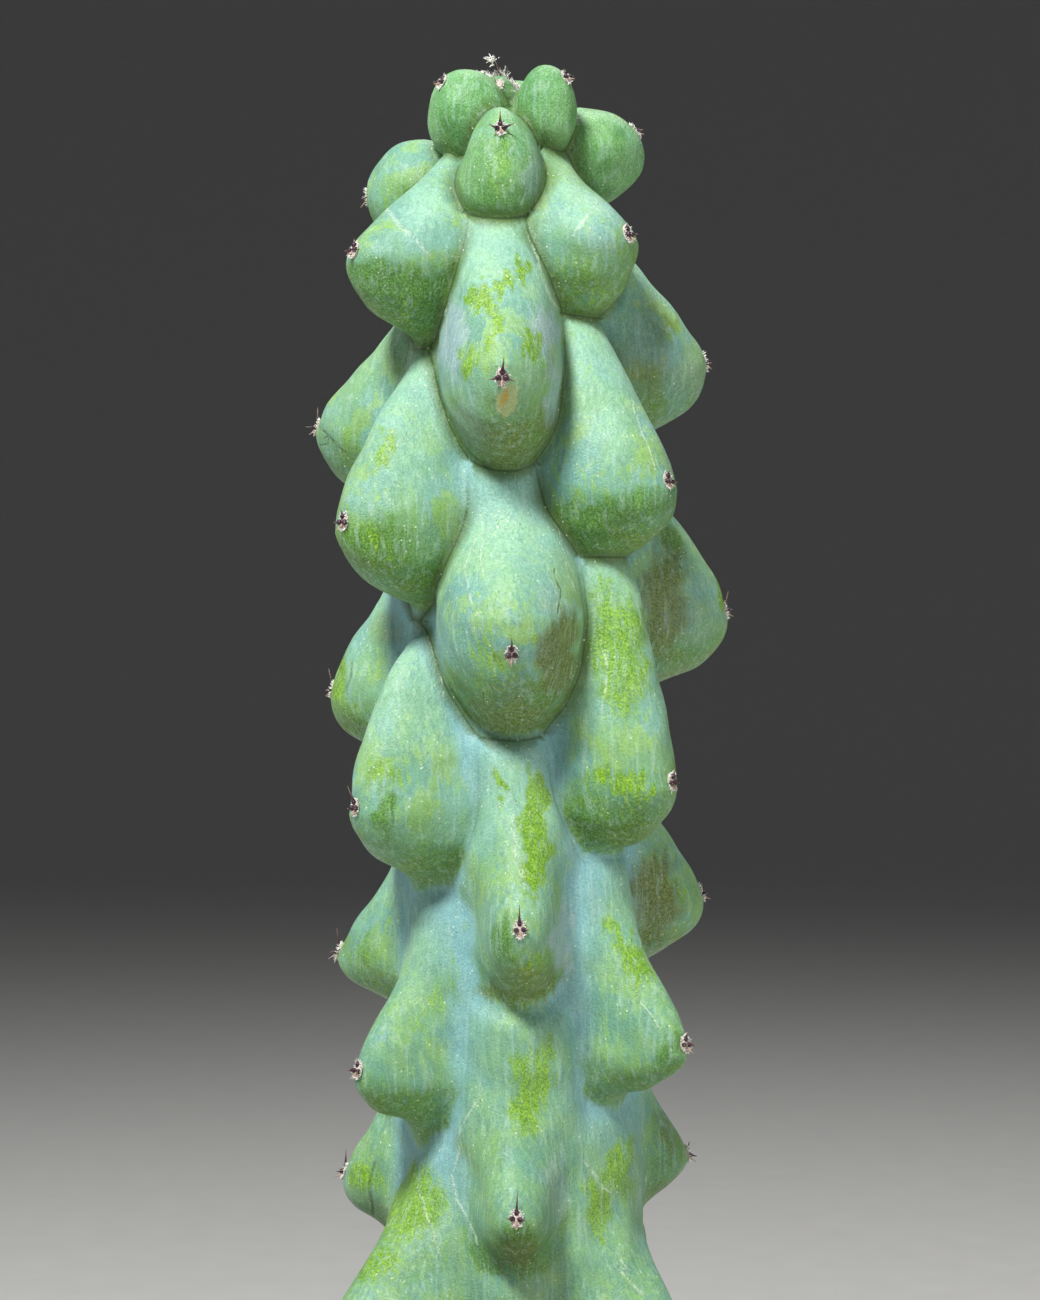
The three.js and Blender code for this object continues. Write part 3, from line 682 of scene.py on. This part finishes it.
class Shade:
    """one procedural material, measured in millimetres on the piece"""

    def __init__(self, name):
        self.material = bpy.data.materials.new(name)
        self.material.use_nodes = True
        self.tree = self.material.node_tree
        self.tree.nodes.clear()
        self.surface = self.tree.nodes.new("ShaderNodeBsdfPrincipled")
        self.put(self.tree.nodes.new("ShaderNodeOutputMaterial").inputs[0], self.surface.outputs[0])
        inputs = {0: self.node("ShaderNodeTexCoord", "Object", {}), "Scale": 1 / MM}
        self.place = self.node("ShaderNodeVectorMath", 0, inputs, operation="SCALE")

    def put(self, socket, value):
        if isinstance(value, bpy.types.NodeSocket):
            self.tree.links.new(value, socket)
        else:
            socket.default_value = value

    def node(self, kind, output, inputs, **settings):
        """a new node with these settings and inputs, of which one output is given back"""
        node = self.tree.nodes.new(kind)
        for key, value in settings.items():
            setattr(node, key, value)
        for key, value in inputs.items():
            self.put(node.inputs[key], value)
        return node.outputs[output]

    def math(self, operation, a, b=0.0):
        return self.node("ShaderNodeMath", 0, {0: a, 1: b}, operation=operation)

    def times(self, a, b):
        return self.math("MULTIPLY", a, b)

    def noise(self, scale, detail=3.0, rough=0.5, factors=(1, 1, 1), offset=(0, 0, 0), warp=0.0, lean=0.0):
        """a noise of the place, turned about Y by the lean, then stretched and shifted"""
        place = self.place
        if lean:
            inputs = {"Angle": lean, "Vector": place}
            place = self.node("ShaderNodeVectorRotate", 0, inputs, rotation_type="Y_AXIS")
        place = self.node("ShaderNodeMapping", 0, {"Vector": place, "Scale": factors, "Location": offset})
        inputs = {"Vector": place, "Scale": scale, "Detail": detail, "Roughness": rough, "Distortion": warp}
        return self.node("ShaderNodeTexNoise", "Fac", inputs)

    def cells(self, scale):
        return self.node("ShaderNodeTexVoronoi", "Distance", {"Vector": self.place, "Scale": scale})

    def value(self, name):
        return self.node("ShaderNodeAttribute", "Fac", {}, attribute_name=name)

    def ramp(self, x, low, high, to_low=0.0, to_high=1.0):
        """a soft step from to_low to to_high while x goes from low to high"""
        inputs = {"Value": x, "From Min": low, "From Max": high, "To Min": to_low, "To Max": to_high}
        return self.node("ShaderNodeMapRange", "Result", inputs, interpolation_type="SMOOTHSTEP")

    def sum(self, *terms):
        """the sum of pairs of a value and its weight"""
        total = 0.0
        for x, weight in terms:
            total = self.math("ADD", self.times(x, weight), total)
        return total

    def mix(self, amount, a, b, blend="MIX"):
        """two colours mixed, each from another node or as red, green and blue"""
        a, b = (rgb(*c) if isinstance(c, tuple) else c for c in (a, b))
        inputs = {"Factor": amount, "A": a, "B": b}
        return self.node("ShaderNodeMix", "Result", inputs, data_type="RGBA", blend_type=blend)

    def coat(self, amount, tint, blend="MIX"):
        """lays a tint over the colour so far"""
        self.colour = self.mix(amount, self.colour, tint, blend)

    def bump(self, height, distance):
        return self.node("ShaderNodeBump", "Normal", {"Distance": distance * MM, "Height": height})

    def finish(self, rough, normal=None, **fixed):
        self.put(self.surface.inputs["Base Color"], self.colour)
        self.put(self.surface.inputs["Roughness"], rough)
        if normal is not None:
            self.put(self.surface.inputs["Normal"], normal)
        for key, value in fixed.items():
            self.surface.inputs[key.replace("_", " ")].default_value = value
        return self.material


def skin_material():
    s = Shade("skin_wax")
    broad = s.noise(0.045, 2)
    mid = s.noise(0.16, 3, offset=(7, 3, 1))
    small = s.noise(0.6, 4, 0.6, offset=(1, 9, 4))
    grain = s.noise(2.6, 2, 0.6)
    stroke = s.noise(1.0, 3, 0.55, factors=(1.3, 1.3, 0.22), lean=0.22, warp=0.3)
    streak = s.noise(1.0, 3, 0.6, factors=(1.1, 1.1, 0.07), offset=(3, 1, 2))
    cloud = s.noise(0.12, 3, 0.5, offset=(5, 2, 9), warp=0.6)
    blue = s.noise(0.1, 2, 0.5, offset=(15, 7, 3))
    flecks = s.cells(0.75)

    def patch(name, low, high, much, broad_edge, stroke_edge, fine_edge):
        """how far a painted value shows, with its edge broken up by the noises"""
        edge = s.sum((cloud, broad_edge), (stroke, stroke_edge), (grain, fine_edge), (s.value(name), 1))
        middle = (broad_edge + stroke_edge + fine_edge) / 2
        return s.times(s.ramp(edge, low + middle, high + middle), much)

    # Waxy green with blue and yellow-green clouds, and a painted falloff of the light: darker and greener
    # towards the bottom
    s.colour = s.mix(s.ramp(broad, 0.36, 0.62), (112, 164, 142), (128, 176, 126))
    s.coat(s.ramp(blue, 0.4, 0.62, 0, 0.6), (122, 176, 172))
    s.coat(s.ramp(s.sum((cloud, 0.9), (stroke, 0.5)), 0.66, 0.82, 0, 0.75), (146, 188, 104))
    # Paler bloom, with a painted highlight on the upper parts that face the light
    s.coat(patch("pale", 0.1, 0.9, 0.9, 0.5, 0.5, 0.1), (150, 200, 174))
    # Painted falloff of the light towards the bottom
    falloff_tint = s.mix(s.ramp(s.sum((mid, 1), (stroke, 0.5)), 0.6, 0.9), (100, 152, 128), (126, 172, 104))
    s.coat(s.times(s.value("lower_falloff"), 0.6), falloff_tint)
    s.coat(patch("valley", 0.1, 0.9, 0.9, 0.4, 0.4, 0.1), (132, 184, 192))
    # Green undersides, the bloom's lilac sheen painted as a reflection on the right flanks, yellow-green
    # rubs, olive-brown patches with painted shade under the tubercles and on their shaded flanks, and the
    # young crown
    green = s.mix(s.ramp(grain, 0.4, 0.62), (72, 118, 34), (100, 150, 70))
    s.coat(patch("deep", 0.1, 1.0, 0.95, 0.7, 0.45, 0.35), green)
    # The bloom's lilac sheen, painted as a reflection
    s.coat(patch("lilac_reflection", 0.15, 1.0, 0.8, 0.5, 0.6, 0.3), (160, 186, 196))
    lime = s.mix(s.ramp(s.sum((grain, 1), (small, 0.4)), 0.5, 0.95), (94, 144, 14), (142, 186, 46))
    rub = patch("rub", 0.3, 0.9, 1.0, 0.4, 1.3, 0.4)
    s.coat(s.times(rub, 0.9), lime)
    # Olive-brown patches, and painted shade under the tubercles and on their shaded flanks
    olive_shade_tint = s.mix(s.ramp(grain, 0.35, 0.65), (84, 96, 38), (122, 136, 70))
    s.coat(patch("olive_and_shade", 0.15, 1.0, 0.85, 0.6, 0.6, 0.4), olive_shade_tint)
    crown = s.mix(s.ramp(s.sum((mid, 1), (grain, 0.4)), 0.55, 0.85), (88, 148, 78), (124, 180, 116))
    s.coat(s.times(s.ramp(s.value("young"), 0.1, 1.0), 0.9), crown)
    # Pale streaks, painted shade in the creases between the tubercles over the greener skin there, dark dots
    # and specks of bloom
    s.coat(s.ramp(streak, 0.48, 0.7, 0, 0.3), (178, 212, 202))
    # Painted shade: a dark olive band along the creases near the tubercles' bottoms
    crease_shade = s.ramp(s.sum((s.value("crease_shade"), 0.9), (stroke, 0.5), (small, 0.3)), 0.35, 1.25)
    crease_shade_band = s.ramp(s.value("gap"), 0.2, 3.2, 0.85, 0)
    s.coat(s.times(crease_shade_band, crease_shade), (76, 104, 42))
    # Painted shade: a thin dark line in the crease itself
    crease = s.ramp(s.math("ABSOLUTE", s.value("edge")), 0.05, 0.45, 0.75, 0)
    crease_shade_line = s.times(crease, s.ramp(s.value("gap"), 1.0, 1.5, 1, 0))
    s.coat(s.times(crease_shade_line, crease_shade), (42, 72, 30))
    dots = s.ramp(s.sum((s.cells(0.9), 1), (grain, 0.3)), 0.2, 0.34, 0.6, 0)
    s.coat(s.times(dots, s.ramp(mid, 0.5, 0.6)), (70, 104, 48))
    specks = s.ramp(s.sum((mid, 1), (stroke, 0.6)), 0.78, 0.92)
    s.coat(s.times(s.ramp(flecks, 0.1, 0.17, 0.6, 0), specks), (226, 238, 214))
    # Thin creases, sunk a little and painted dark as their shade, pale lines and the scar
    marks = []
    for name, tint, much in (("dark_line", (74, 104, 58), 0.7), ("pale_line", (200, 222, 200), 0.5)):
        wide = s.ramp(s.math("ABSOLUTE", s.value(name)), 0.3, 1.6, much, 0)
        near = s.times(wide, s.ramp(s.value(name + "_near"), 0.45, 0.8))
        near = s.times(near, s.ramp(s.sum((small, 1), (grain, 0.5)), 0.6, 0.85, 0.1, 1))
        s.coat(near, tint)
        marks.append(near)
    scar = s.sum((s.value("scar"), 1), (small, 0.9), (grain, 0.5))
    s.coat(s.ramp(scar, 0.3, 0.7, 0, 0.75), (172, 182, 128))
    core = s.ramp(s.sum((s.value("scar_core"), 1), (small, 0.8), (grain, 0.5)), 0.6, 1.0, 0, 0.85)
    s.coat(core, (176, 152, 60))
    # Fine light and dark, gloss and relief
    shade = s.ramp(s.sum((grain, 0.7), (small, 0.25), (stroke, 0.25)), 0.42, 0.8, 0.8, 1.1)
    s.coat(1.0, shade, "MULTIPLY")
    rough = s.math("ADD", s.ramp(small, 0.3, 0.7, 0.4, 0.54), s.times(rub, -0.06))
    height = s.sum((streak, 0.5), (small, 0.4), (grain, 0.45), (marks[1], 0.5), (marks[0], -0.7))
    return s.finish(rough, s.bump(height, 0.32), IOR=1.42, Specular_IOR_Level=0.45,
                    Sheen_Weight=0.05, Sheen_Roughness=0.5)


def felt_material():
    s = Shade("areole_wool")
    fine, tone = s.noise(3.0, 3), s.value("tone")
    s.colour = s.mix(s.ramp(fine, 0.35, 0.65), (176, 148, 138), (226, 212, 204))
    s.coat(tone, (244, 243, 238))
    rough = s.ramp(fine, 0.3, 0.7, 0.8, 0.98)
    return s.finish(rough, s.bump(fine, 0.2), Sheen_Weight=0.5, Sheen_Roughness=0.4)


def spine_material():
    s = Shade("spine_horn")
    fine, tone = s.noise(2.4, 3), s.value("tone")
    s.colour = s.mix(s.ramp(fine, 0.35, 0.65), (30, 16, 26), (70, 40, 56))
    s.coat(tone, (196, 168, 146))
    return s.finish(s.ramp(fine, 0.3, 0.7, 0.28, 0.5), s.bump(fine, 0.1), Specular_IOR_Level=0.5)


def grit_material():
    s = Shade("grit_stone")
    tone, fine = s.value("tone"), s.noise(0.9, 4, 0.65)
    s.colour = s.mix(s.ramp(tone, 0.1, 0.34), (62, 46, 36), (122, 92, 66))
    s.coat(s.ramp(tone, 0.45, 0.6), (166, 142, 112))
    s.coat(s.ramp(tone, 0.72, 0.8), (208, 202, 188))
    s.coat(s.ramp(tone, 0.92, 0.95), (92, 92, 94))
    s.coat(s.ramp(fine, 0.35, 0.65, 0, 0.45), (84, 68, 54))
    return s.finish(s.ramp(fine, 0.3, 0.7, 0.78, 0.96), s.bump(fine, 0.35))


def soil_material():
    s = Shade("soil_earth")
    broad, fine = s.noise(0.12, 3), s.noise(1.1, 5, 0.7)
    s.colour = s.mix(s.ramp(broad, 0.35, 0.65), (66, 50, 38), (96, 74, 54))
    s.coat(s.ramp(fine, 0.5, 0.72), (150, 126, 98))
    s.coat(s.ramp(s.cells(0.8), 0.1, 0.2, 0.5, 0), (34, 26, 20))
    return s.finish(s.ramp(fine, 0.3, 0.7, 0.85, 0.98), s.bump(fine, 0.9))


def clay_material():
    s = Shade("fired_clay")
    broad, mid, fine = s.noise(0.035, 4, warp=0.5), s.noise(0.14, 4, 0.6), s.noise(1.6, 4, 0.65)
    turning = s.noise(1.0, 3, 0.5, factors=(0.02, 0.02, 1.1))
    s.colour = s.mix(s.ramp(mid, 0.35, 0.65), (172, 96, 62), (196, 120, 82))
    s.coat(s.ramp(turning, 0.4, 0.62, 0, 0.3), (206, 138, 100))
    lime = s.ramp(s.sum((s.value("lime"), 0.8), (broad, 1.1), (fine, 0.35)), 1.05, 1.5)
    s.coat(s.times(lime, 0.65), (226, 208, 190))
    s.coat(s.ramp(s.cells(0.55), 0.06, 0.13, 0.55, 0), (120, 62, 42))
    height = s.sum((turning, 0.8), (fine, 0.5), (mid, 0.4))
    return s.finish(s.ramp(fine, 0.3, 0.7, 0.74, 0.92), s.bump(height, 0.35))


def floor_material():
    s = Shade("pale_floor")
    fine = s.noise(0.05, 3)
    s.colour = s.mix(fine, (214, 214, 212), (220, 220, 218))
    return s.finish(s.ramp(fine, 0.3, 0.7, 0.6, 0.66))


# The stem

def make_stem():
    verts, quads = surface_net(1.0)
    verts, normals = settle(verts)
    stem = build("stem_skin", verts, quads, skin_material(), "cactus_skin", skin_marks(verts, normals))
    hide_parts("cactus_stem")


def areole_places():
    """for each tubercle: its number, the point of its areole and the frame right, up, out"""
    az = ALL["az"]
    reach = np.full(len(az), 62.0)
    for _ in range(60):
        p = np.stack([stem_x(ALL["z"]) + reach * np.sin(az), -reach * np.cos(az), ALL["z"]], 1)
        reach = np.maximum(reach - 0.8 * field_at(p), 1.0)
    p, out = settle(p)
    right = unit(np.cross([[0, 0, 1.0]], out))
    return [(int(n), *row) for n, *row in zip(ALL["n"], p, right, np.cross(out, right), out)]


def rim_hairs(rng, count, size):
    """start, middle and end of the woolly hairs round a pad, in the pad's frame"""
    turn = 2 * np.pi * (np.arange(count) + rng.random(count)) / count
    edge = rng.uniform(0.78, 1.02, count) * size
    root = around(turn, edge, 0.1) * (1, 1.6, 1)
    lean = rng.uniform(0.15, 0.9, (count, 1))
    length = rng.uniform(0.35, 0.8, (count, 1)) * size
    way = around(turn, 1, 0) * lean + rng.normal(0, 0.25, (count, 3))
    way[:, 2] = 0.55 + rng.random(count) * 0.4
    way = unit(way)
    end = root + way * length + rng.normal(0, 0.1, count)[:, None]
    return root, root + way * length * 0.55, end


def spine_plan(rng, n):
    """angle from straight up, length and radius of the four spines on a pad"""
    spiky = n % RIBS == 0 or rng.random() < 0.25
    side = rng.uniform(1.7, 2.3) if spiky and n < 10 else rng.uniform(0.5, 0.9)
    top = rng.uniform(2.6, 3.4) if spiky else rng.uniform(0.6, 1.1)
    plan = [(0, top, 0.5), (104, side, 0.54), (-104, side, 0.54), (180, rng.uniform(0.8, 1.4), 0.3)]
    if n > OLD_SPINES:
        plan = [(angle, length * 0.9 + 0.5, radius * 0.85) for angle, length, radius in plan]
    return plan


def spine_line(rng, angle, length, size):
    """three points of a spine's swollen foot, its middle and its tip, in the pad's frame"""
    t = math.radians(angle + rng.uniform(-9, 9))
    tilt = math.radians(rng.uniform(38, 52) - (22 if angle == 0 else 0))
    root = np.array([0.42 * size * math.sin(t), 0.525 * size * math.cos(t), 0.3])
    way = np.array([math.sin(t) * math.cos(tilt), math.cos(t) * math.cos(tilt), math.sin(tilt)])
    return [root + way * step for step in (0, 0.35, 0.7, 0.7 + 0.3 * length, 0.7 + length)]


def make_areoles():
    """felt pads with woolly rims and the spines in them; gives the tip of the long crown spine"""
    rng = np.random.default_rng(11)
    pad_v, pad_f = ball(7, 14)
    felt, horn = [], []
    for n, p, right, up, out in areole_places():
        basis = np.stack([right, up, out])
        size = min(max(0.62 + 0.05 * (n + 7), 0.42), 1.0) * rng.uniform(0.94, 1.06)
        lump = 1 + 0.12 * np.sin(5 * pad_v[:, :1] + n) * np.cos(4 * pad_v[:, 1:2] - n)
        pad = pad_v * (size, 1.65 * size, 0.55) * lump
        felt.append((p + pad @ basis, pad_f, 0.15))
        hairs = [p + q @ basis for q in rim_hairs(rng, 34 if n < FIRST_SPINY else 64, size)]
        felt.append((*tapers(*hairs, (0.1, 0.085, 0.03), 4), 0.95))
        if n < FIRST_SPINY:
            continue
        for angle, length, radius in spine_plan(rng, n):
            line = [p + q @ basis for q in spine_line(rng, angle, length * size, size)]
            r = radius * size
            pale = 0.75 if angle == 180 else 0.0
            horn.append((*tapers(*line[:3], (0.8 * r, 1.05 * r, 0.855 * r), SIDES), pale))
            horn.append((*tapers(*line[2:], (0.72 * r, 0.4 * r, 0.05), SIDES), np.maximum(pale, TIP_TONES)))
    base = np.array([stem_x(SOIL_Z + CROWN), 0, SOIL_Z + CROWN - 3.5]) + (1.2, -4.0, -1.5)
    tip = base + (-2.2, -1.2, 6.2)
    long_spine = tapers(base, base + (-1.0, -0.8, 2.8), tip, (0.2, 0.15, 0.06), SIDES)
    horn.append((*long_spine, LONG_TONES))
    build_parts("areole_felt", felt, felt_material(), "areole_felt")
    build_parts("spines", horn, spine_material(), "spine")
    return tip


def make_wool(spine_tip):
    """fine white wool where the youngest tubercles crowd the growing point, and the fleck on the spine"""
    rng = np.random.default_rng(23)
    spread = 4.2 * np.sqrt(rng.random(HAIRS))
    turn = 2 * np.pi * rng.random(HAIRS)
    top = SOIL_Z + CROWN - 4.5
    root = around(turn, spread, top) + (stem_x(top), 0, 0)
    for _ in range(6):
        root[:, 2] -= np.clip(field_at(root), -1, 1) * 0.8
    way = rng.normal(0, 0.55, (HAIRS, 3))
    way[:, 2] = 0.8
    way = unit(way)
    reach = way * rng.uniform(0.7, 1.7, (HAIRS, 1))
    curl = rng.normal(0, 0.35, (HAIRS, 3))
    wool = tapers(root - way * 0.3, root + reach * 0.5 + curl, root + reach, (0.08, 0.07, 0.025), 3)
    starts = spine_tip + rng.normal(0, 0.35, (FLECK_HAIRS, 3)) - (0.4, 0, 0.1)
    ends = starts + rng.normal(0, 0.5, (FLECK_HAIRS, 3)) + (-0.6, 0, 0.2)
    mids = (starts + ends) / 2 + rng.normal(0, 0.12, (FLECK_HAIRS, 3))
    fleck = tapers(starts, mids, ends, (0.1, 0.12, 0.05), 4)
    build_parts("crown_wool", [(*wool, 0.9), (*fleck, 1.0)], felt_material(), "areole_felt")


# Soil and pot

def wall_out(z):
    """radius of the pot's outer wall below the band"""
    return POT_FOOT_R + (POT_TOP_R - RIM_STEP - POT_FOOT_R) * z / (POT_HEIGHT - RIM_HEIGHT)


def wall_in(z):
    return wall_out(z) - WALL


def soil_top(r, a):
    """height of the soil's surface at a distance from the middle and an angle"""
    return SOIL_Z + 0.9 * np.sin(3 * a + r * 0.13) * np.sin(r * 0.16) + 0.5 * np.sin(7 * a - r * 0.3)


def make_soil():
    rng = np.random.default_rng(31)
    hole = FOOT_R + 0.7
    rim = wall_in(SOIL_Z - 1) - 0.8
    under, deep = FLOOR + 0.3, SOIL_Z - FOOT_DEPTH - 0.3
    top = [(r, SOIL_Z) for r in np.linspace(rim - 0.8, hole + 0.4, 46)]
    profile = [(0.01, under), (wall_in(FLOOR) - 0.8, under), (rim, SOIL_Z - 1), *top,
               (hole, SOIL_Z - 0.4), (hole, deep), (0.01, deep)]

    def lumps(verts, turn):
        r = np.hypot(verts[:, :, 0], verts[:, :, 1])
        flat = verts[:, :, 2] == SOIL_Z
        rough = soil_top(r, turn) + rng.normal(0, 0.22, r.shape)
        verts[:, :, 2] = np.where(flat, rough, verts[:, :, 2])
        return verts

    verts, faces = lathe(profile, 160, lumps)
    soil = build("soil_bed", verts, faces, soil_material(), "potting_grit")
    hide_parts("soil")
    stone_v, stone_f = ball(4, 6)
    stones = []
    for size in np.repeat(*zip(*STONES)):
        r = math.sqrt(rng.uniform((hole + 1.5 + size) ** 2, (rim - 1.2 - size) ** 2))
        a = rng.uniform(-math.pi, math.pi)
        scale = size * rng.uniform(0.7, 1.25) * rng.uniform(0.65, 1.0, 3)
        dents = 1 + rng.normal(0, 0.13, (len(stone_v), 1))
        spin = Matrix.Rotation(rng.uniform(0, 6.28), 3, Vector(rng.normal(0, 1, 3)))
        body = (stone_v * scale * dents) @ np.array(spin).T
        z = soil_top(r, a) + scale.min() * rng.uniform(0.1, 0.55)
        stones.append((body + (r * math.cos(a), r * math.sin(a), z), stone_f, rng.random()))
    build_parts("soil_grit", stones, grit_material(), "potting_grit")


def arc(cx, cz, radius, start, stop, steps=6):
    """points of an arc in the outline, from one angle in degrees to another"""
    turn = np.radians(np.linspace(start, stop, steps))
    return [(cx + radius * math.cos(t), cz + radius * math.sin(t)) for t in turn]


def make_pot():
    band = POT_HEIGHT - RIM_HEIGHT
    profile = [
        *arc(DRAIN_R + 0.8, 0.8, 0.8, 180, 270, 4), *arc(POT_FOOT_R - 1.4, 1.6, 1.6, 270, 360, 5),
        *[(wall_out(z), z) for z in np.linspace(4, band - 1.5, 46)],
        *arc(wall_out(band) + 0.7, band - 0.7, 0.7, 180, 90, 4),
        *arc(POT_TOP_R - 1.2, band + 1.2, 1.2, 270, 360, 5),
        *[(POT_TOP_R + 0.8 * k / 8, band + 2 + (RIM_HEIGHT - 5) * k / 8) for k in range(9)],
        *arc(POT_TOP_R - 1.4, POT_HEIGHT - 2.2, 2.2, 0, 90),
        *arc(POT_TOP_R - 4.6, POT_HEIGHT - 2, 2, 90, 175),
        *[(wall_in(min(z, band)), z) for z in np.linspace(SOIL_Z + 6, FLOOR + 3, 30)],
        (wall_in(FLOOR), FLOOR), *arc(DRAIN_R + 0.8, FLOOR - 0.8, 0.8, 90, 180, 4),
    ]

    def turned(verts, turn):
        """the slight waver of a pot turned by hand, outside its foot"""
        r = np.hypot(verts[:, :, 0], verts[:, :, 1])
        z = verts[:, :, 2]
        waver = 0.16 * np.sin(2 * turn + 0.05 * z) + 0.1 * np.sin(3 * turn - 0.08 * z + 1)
        waver += 0.05 * np.sin(0.9 * z)
        verts[:, :, :2] *= (1 + np.where((z > 3) & (r > 30), waver, 0) / np.maximum(r, 1))[:, :, None]
        return verts

    verts, faces = lathe(profile, 180, turned)
    z = verts[:, 2]
    below, above = np.exp(-z / 14), np.exp(-np.abs(z - POT_HEIGHT) / 5)
    lime = 0.75 * below + 0.8 * above + 0.5 * np.exp(-np.abs(z - band + 3) / 7)
    pot = build("clay_pot", verts, faces, clay_material(), "clay", {"lime": lime})
    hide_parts("pot")


# Floor, light and camera

LIGHT_TARGET = Vector((0, 0, 0.24))
# Place in metres, width, power in watts and colour
LIGHTS = {
    "key": ((-0.36, -0.62, 1.2), 0.26, 21, (1.0, 0.985, 0.96)),
    "fill": ((1.2, -0.8, 0.4), 0.8, 7, (0.98, 0.95, 0.9)),
    "back": ((0.35, 1.0, 1.7), 0.7, 12, (0.98, 0.97, 0.95)),
    "rim": ((-1.1, 0.5, 0.8), 0.7, 3, (0.9, 0.96, 1.0)),
}
# The floor is flat out to the first radius, then curves up over the second one
FLAT_R, SWEEP_R, FLOOR_SIDES = 4000, 5000, 96


def make_stage():
    turn = 2 * np.pi * np.arange(FLOOR_SIDES) / FLOOR_SIDES
    sweep = [(1, 0), (400, 0), (FLAT_R, 0)]
    for t in np.linspace(0.1, math.pi / 2, 16):
        sweep.append((FLAT_R + SWEEP_R * math.sin(t), SWEEP_R - SWEEP_R * math.cos(t)))
    rings = [around(turn, r, z) for r, z in sweep]
    k = np.arange(FLOOR_SIDES)
    after = (k + 1) % FLOOR_SIDES
    strip = np.stack([k, k + FLOOR_SIDES, after + FLOOR_SIDES, after], 1)
    faces = np.concatenate([strip + FLOOR_SIDES * i for i in range(len(sweep) - 1)])
    build("floor", np.concatenate(rings), faces, floor_material(), None)
    for name, (place, width, power, colour) in LIGHTS.items():
        data = bpy.data.lights.new(name, "AREA")
        data.shape = "DISK"
        data.size, data.energy, data.color = width, power, colour
        light = link(name, data)
        light.location = place
        light.rotation_euler = (LIGHT_TARGET - Vector(place)).to_track_quat("-Z", "Y").to_euler()
    world = bpy.data.worlds.new("studio")
    bpy.context.scene.world = world
    world.use_nodes = True
    sky = world.node_tree.nodes["Background"].inputs
    sky["Color"].default_value = (0.62, 0.64, 0.67, 1)
    sky["Strength"].default_value = 0.07
    bpy.context.scene.view_settings.view_transform = "Standard"


def make_camera():
    data = bpy.data.cameras.new("camera")
    camera = link("camera", data)
    data.sensor_fit = "AUTO"
    data.sensor_width = SENSOR
    data.lens = SENSOR * -CAMERA_Y / (PHOTO_H * PIXEL)
    data.clip_start, data.clip_end = 0.05, 100
    camera.location = Vector((CAMERA_X, CAMERA_Y, CAMERA_Z)) * MM
    camera.rotation_euler = (math.radians(90), 0, 0)
    bpy.context.scene.camera = camera


make_camera()
make_stage()
make_stem()
make_wool(make_areoles())
make_soil()
make_pot()
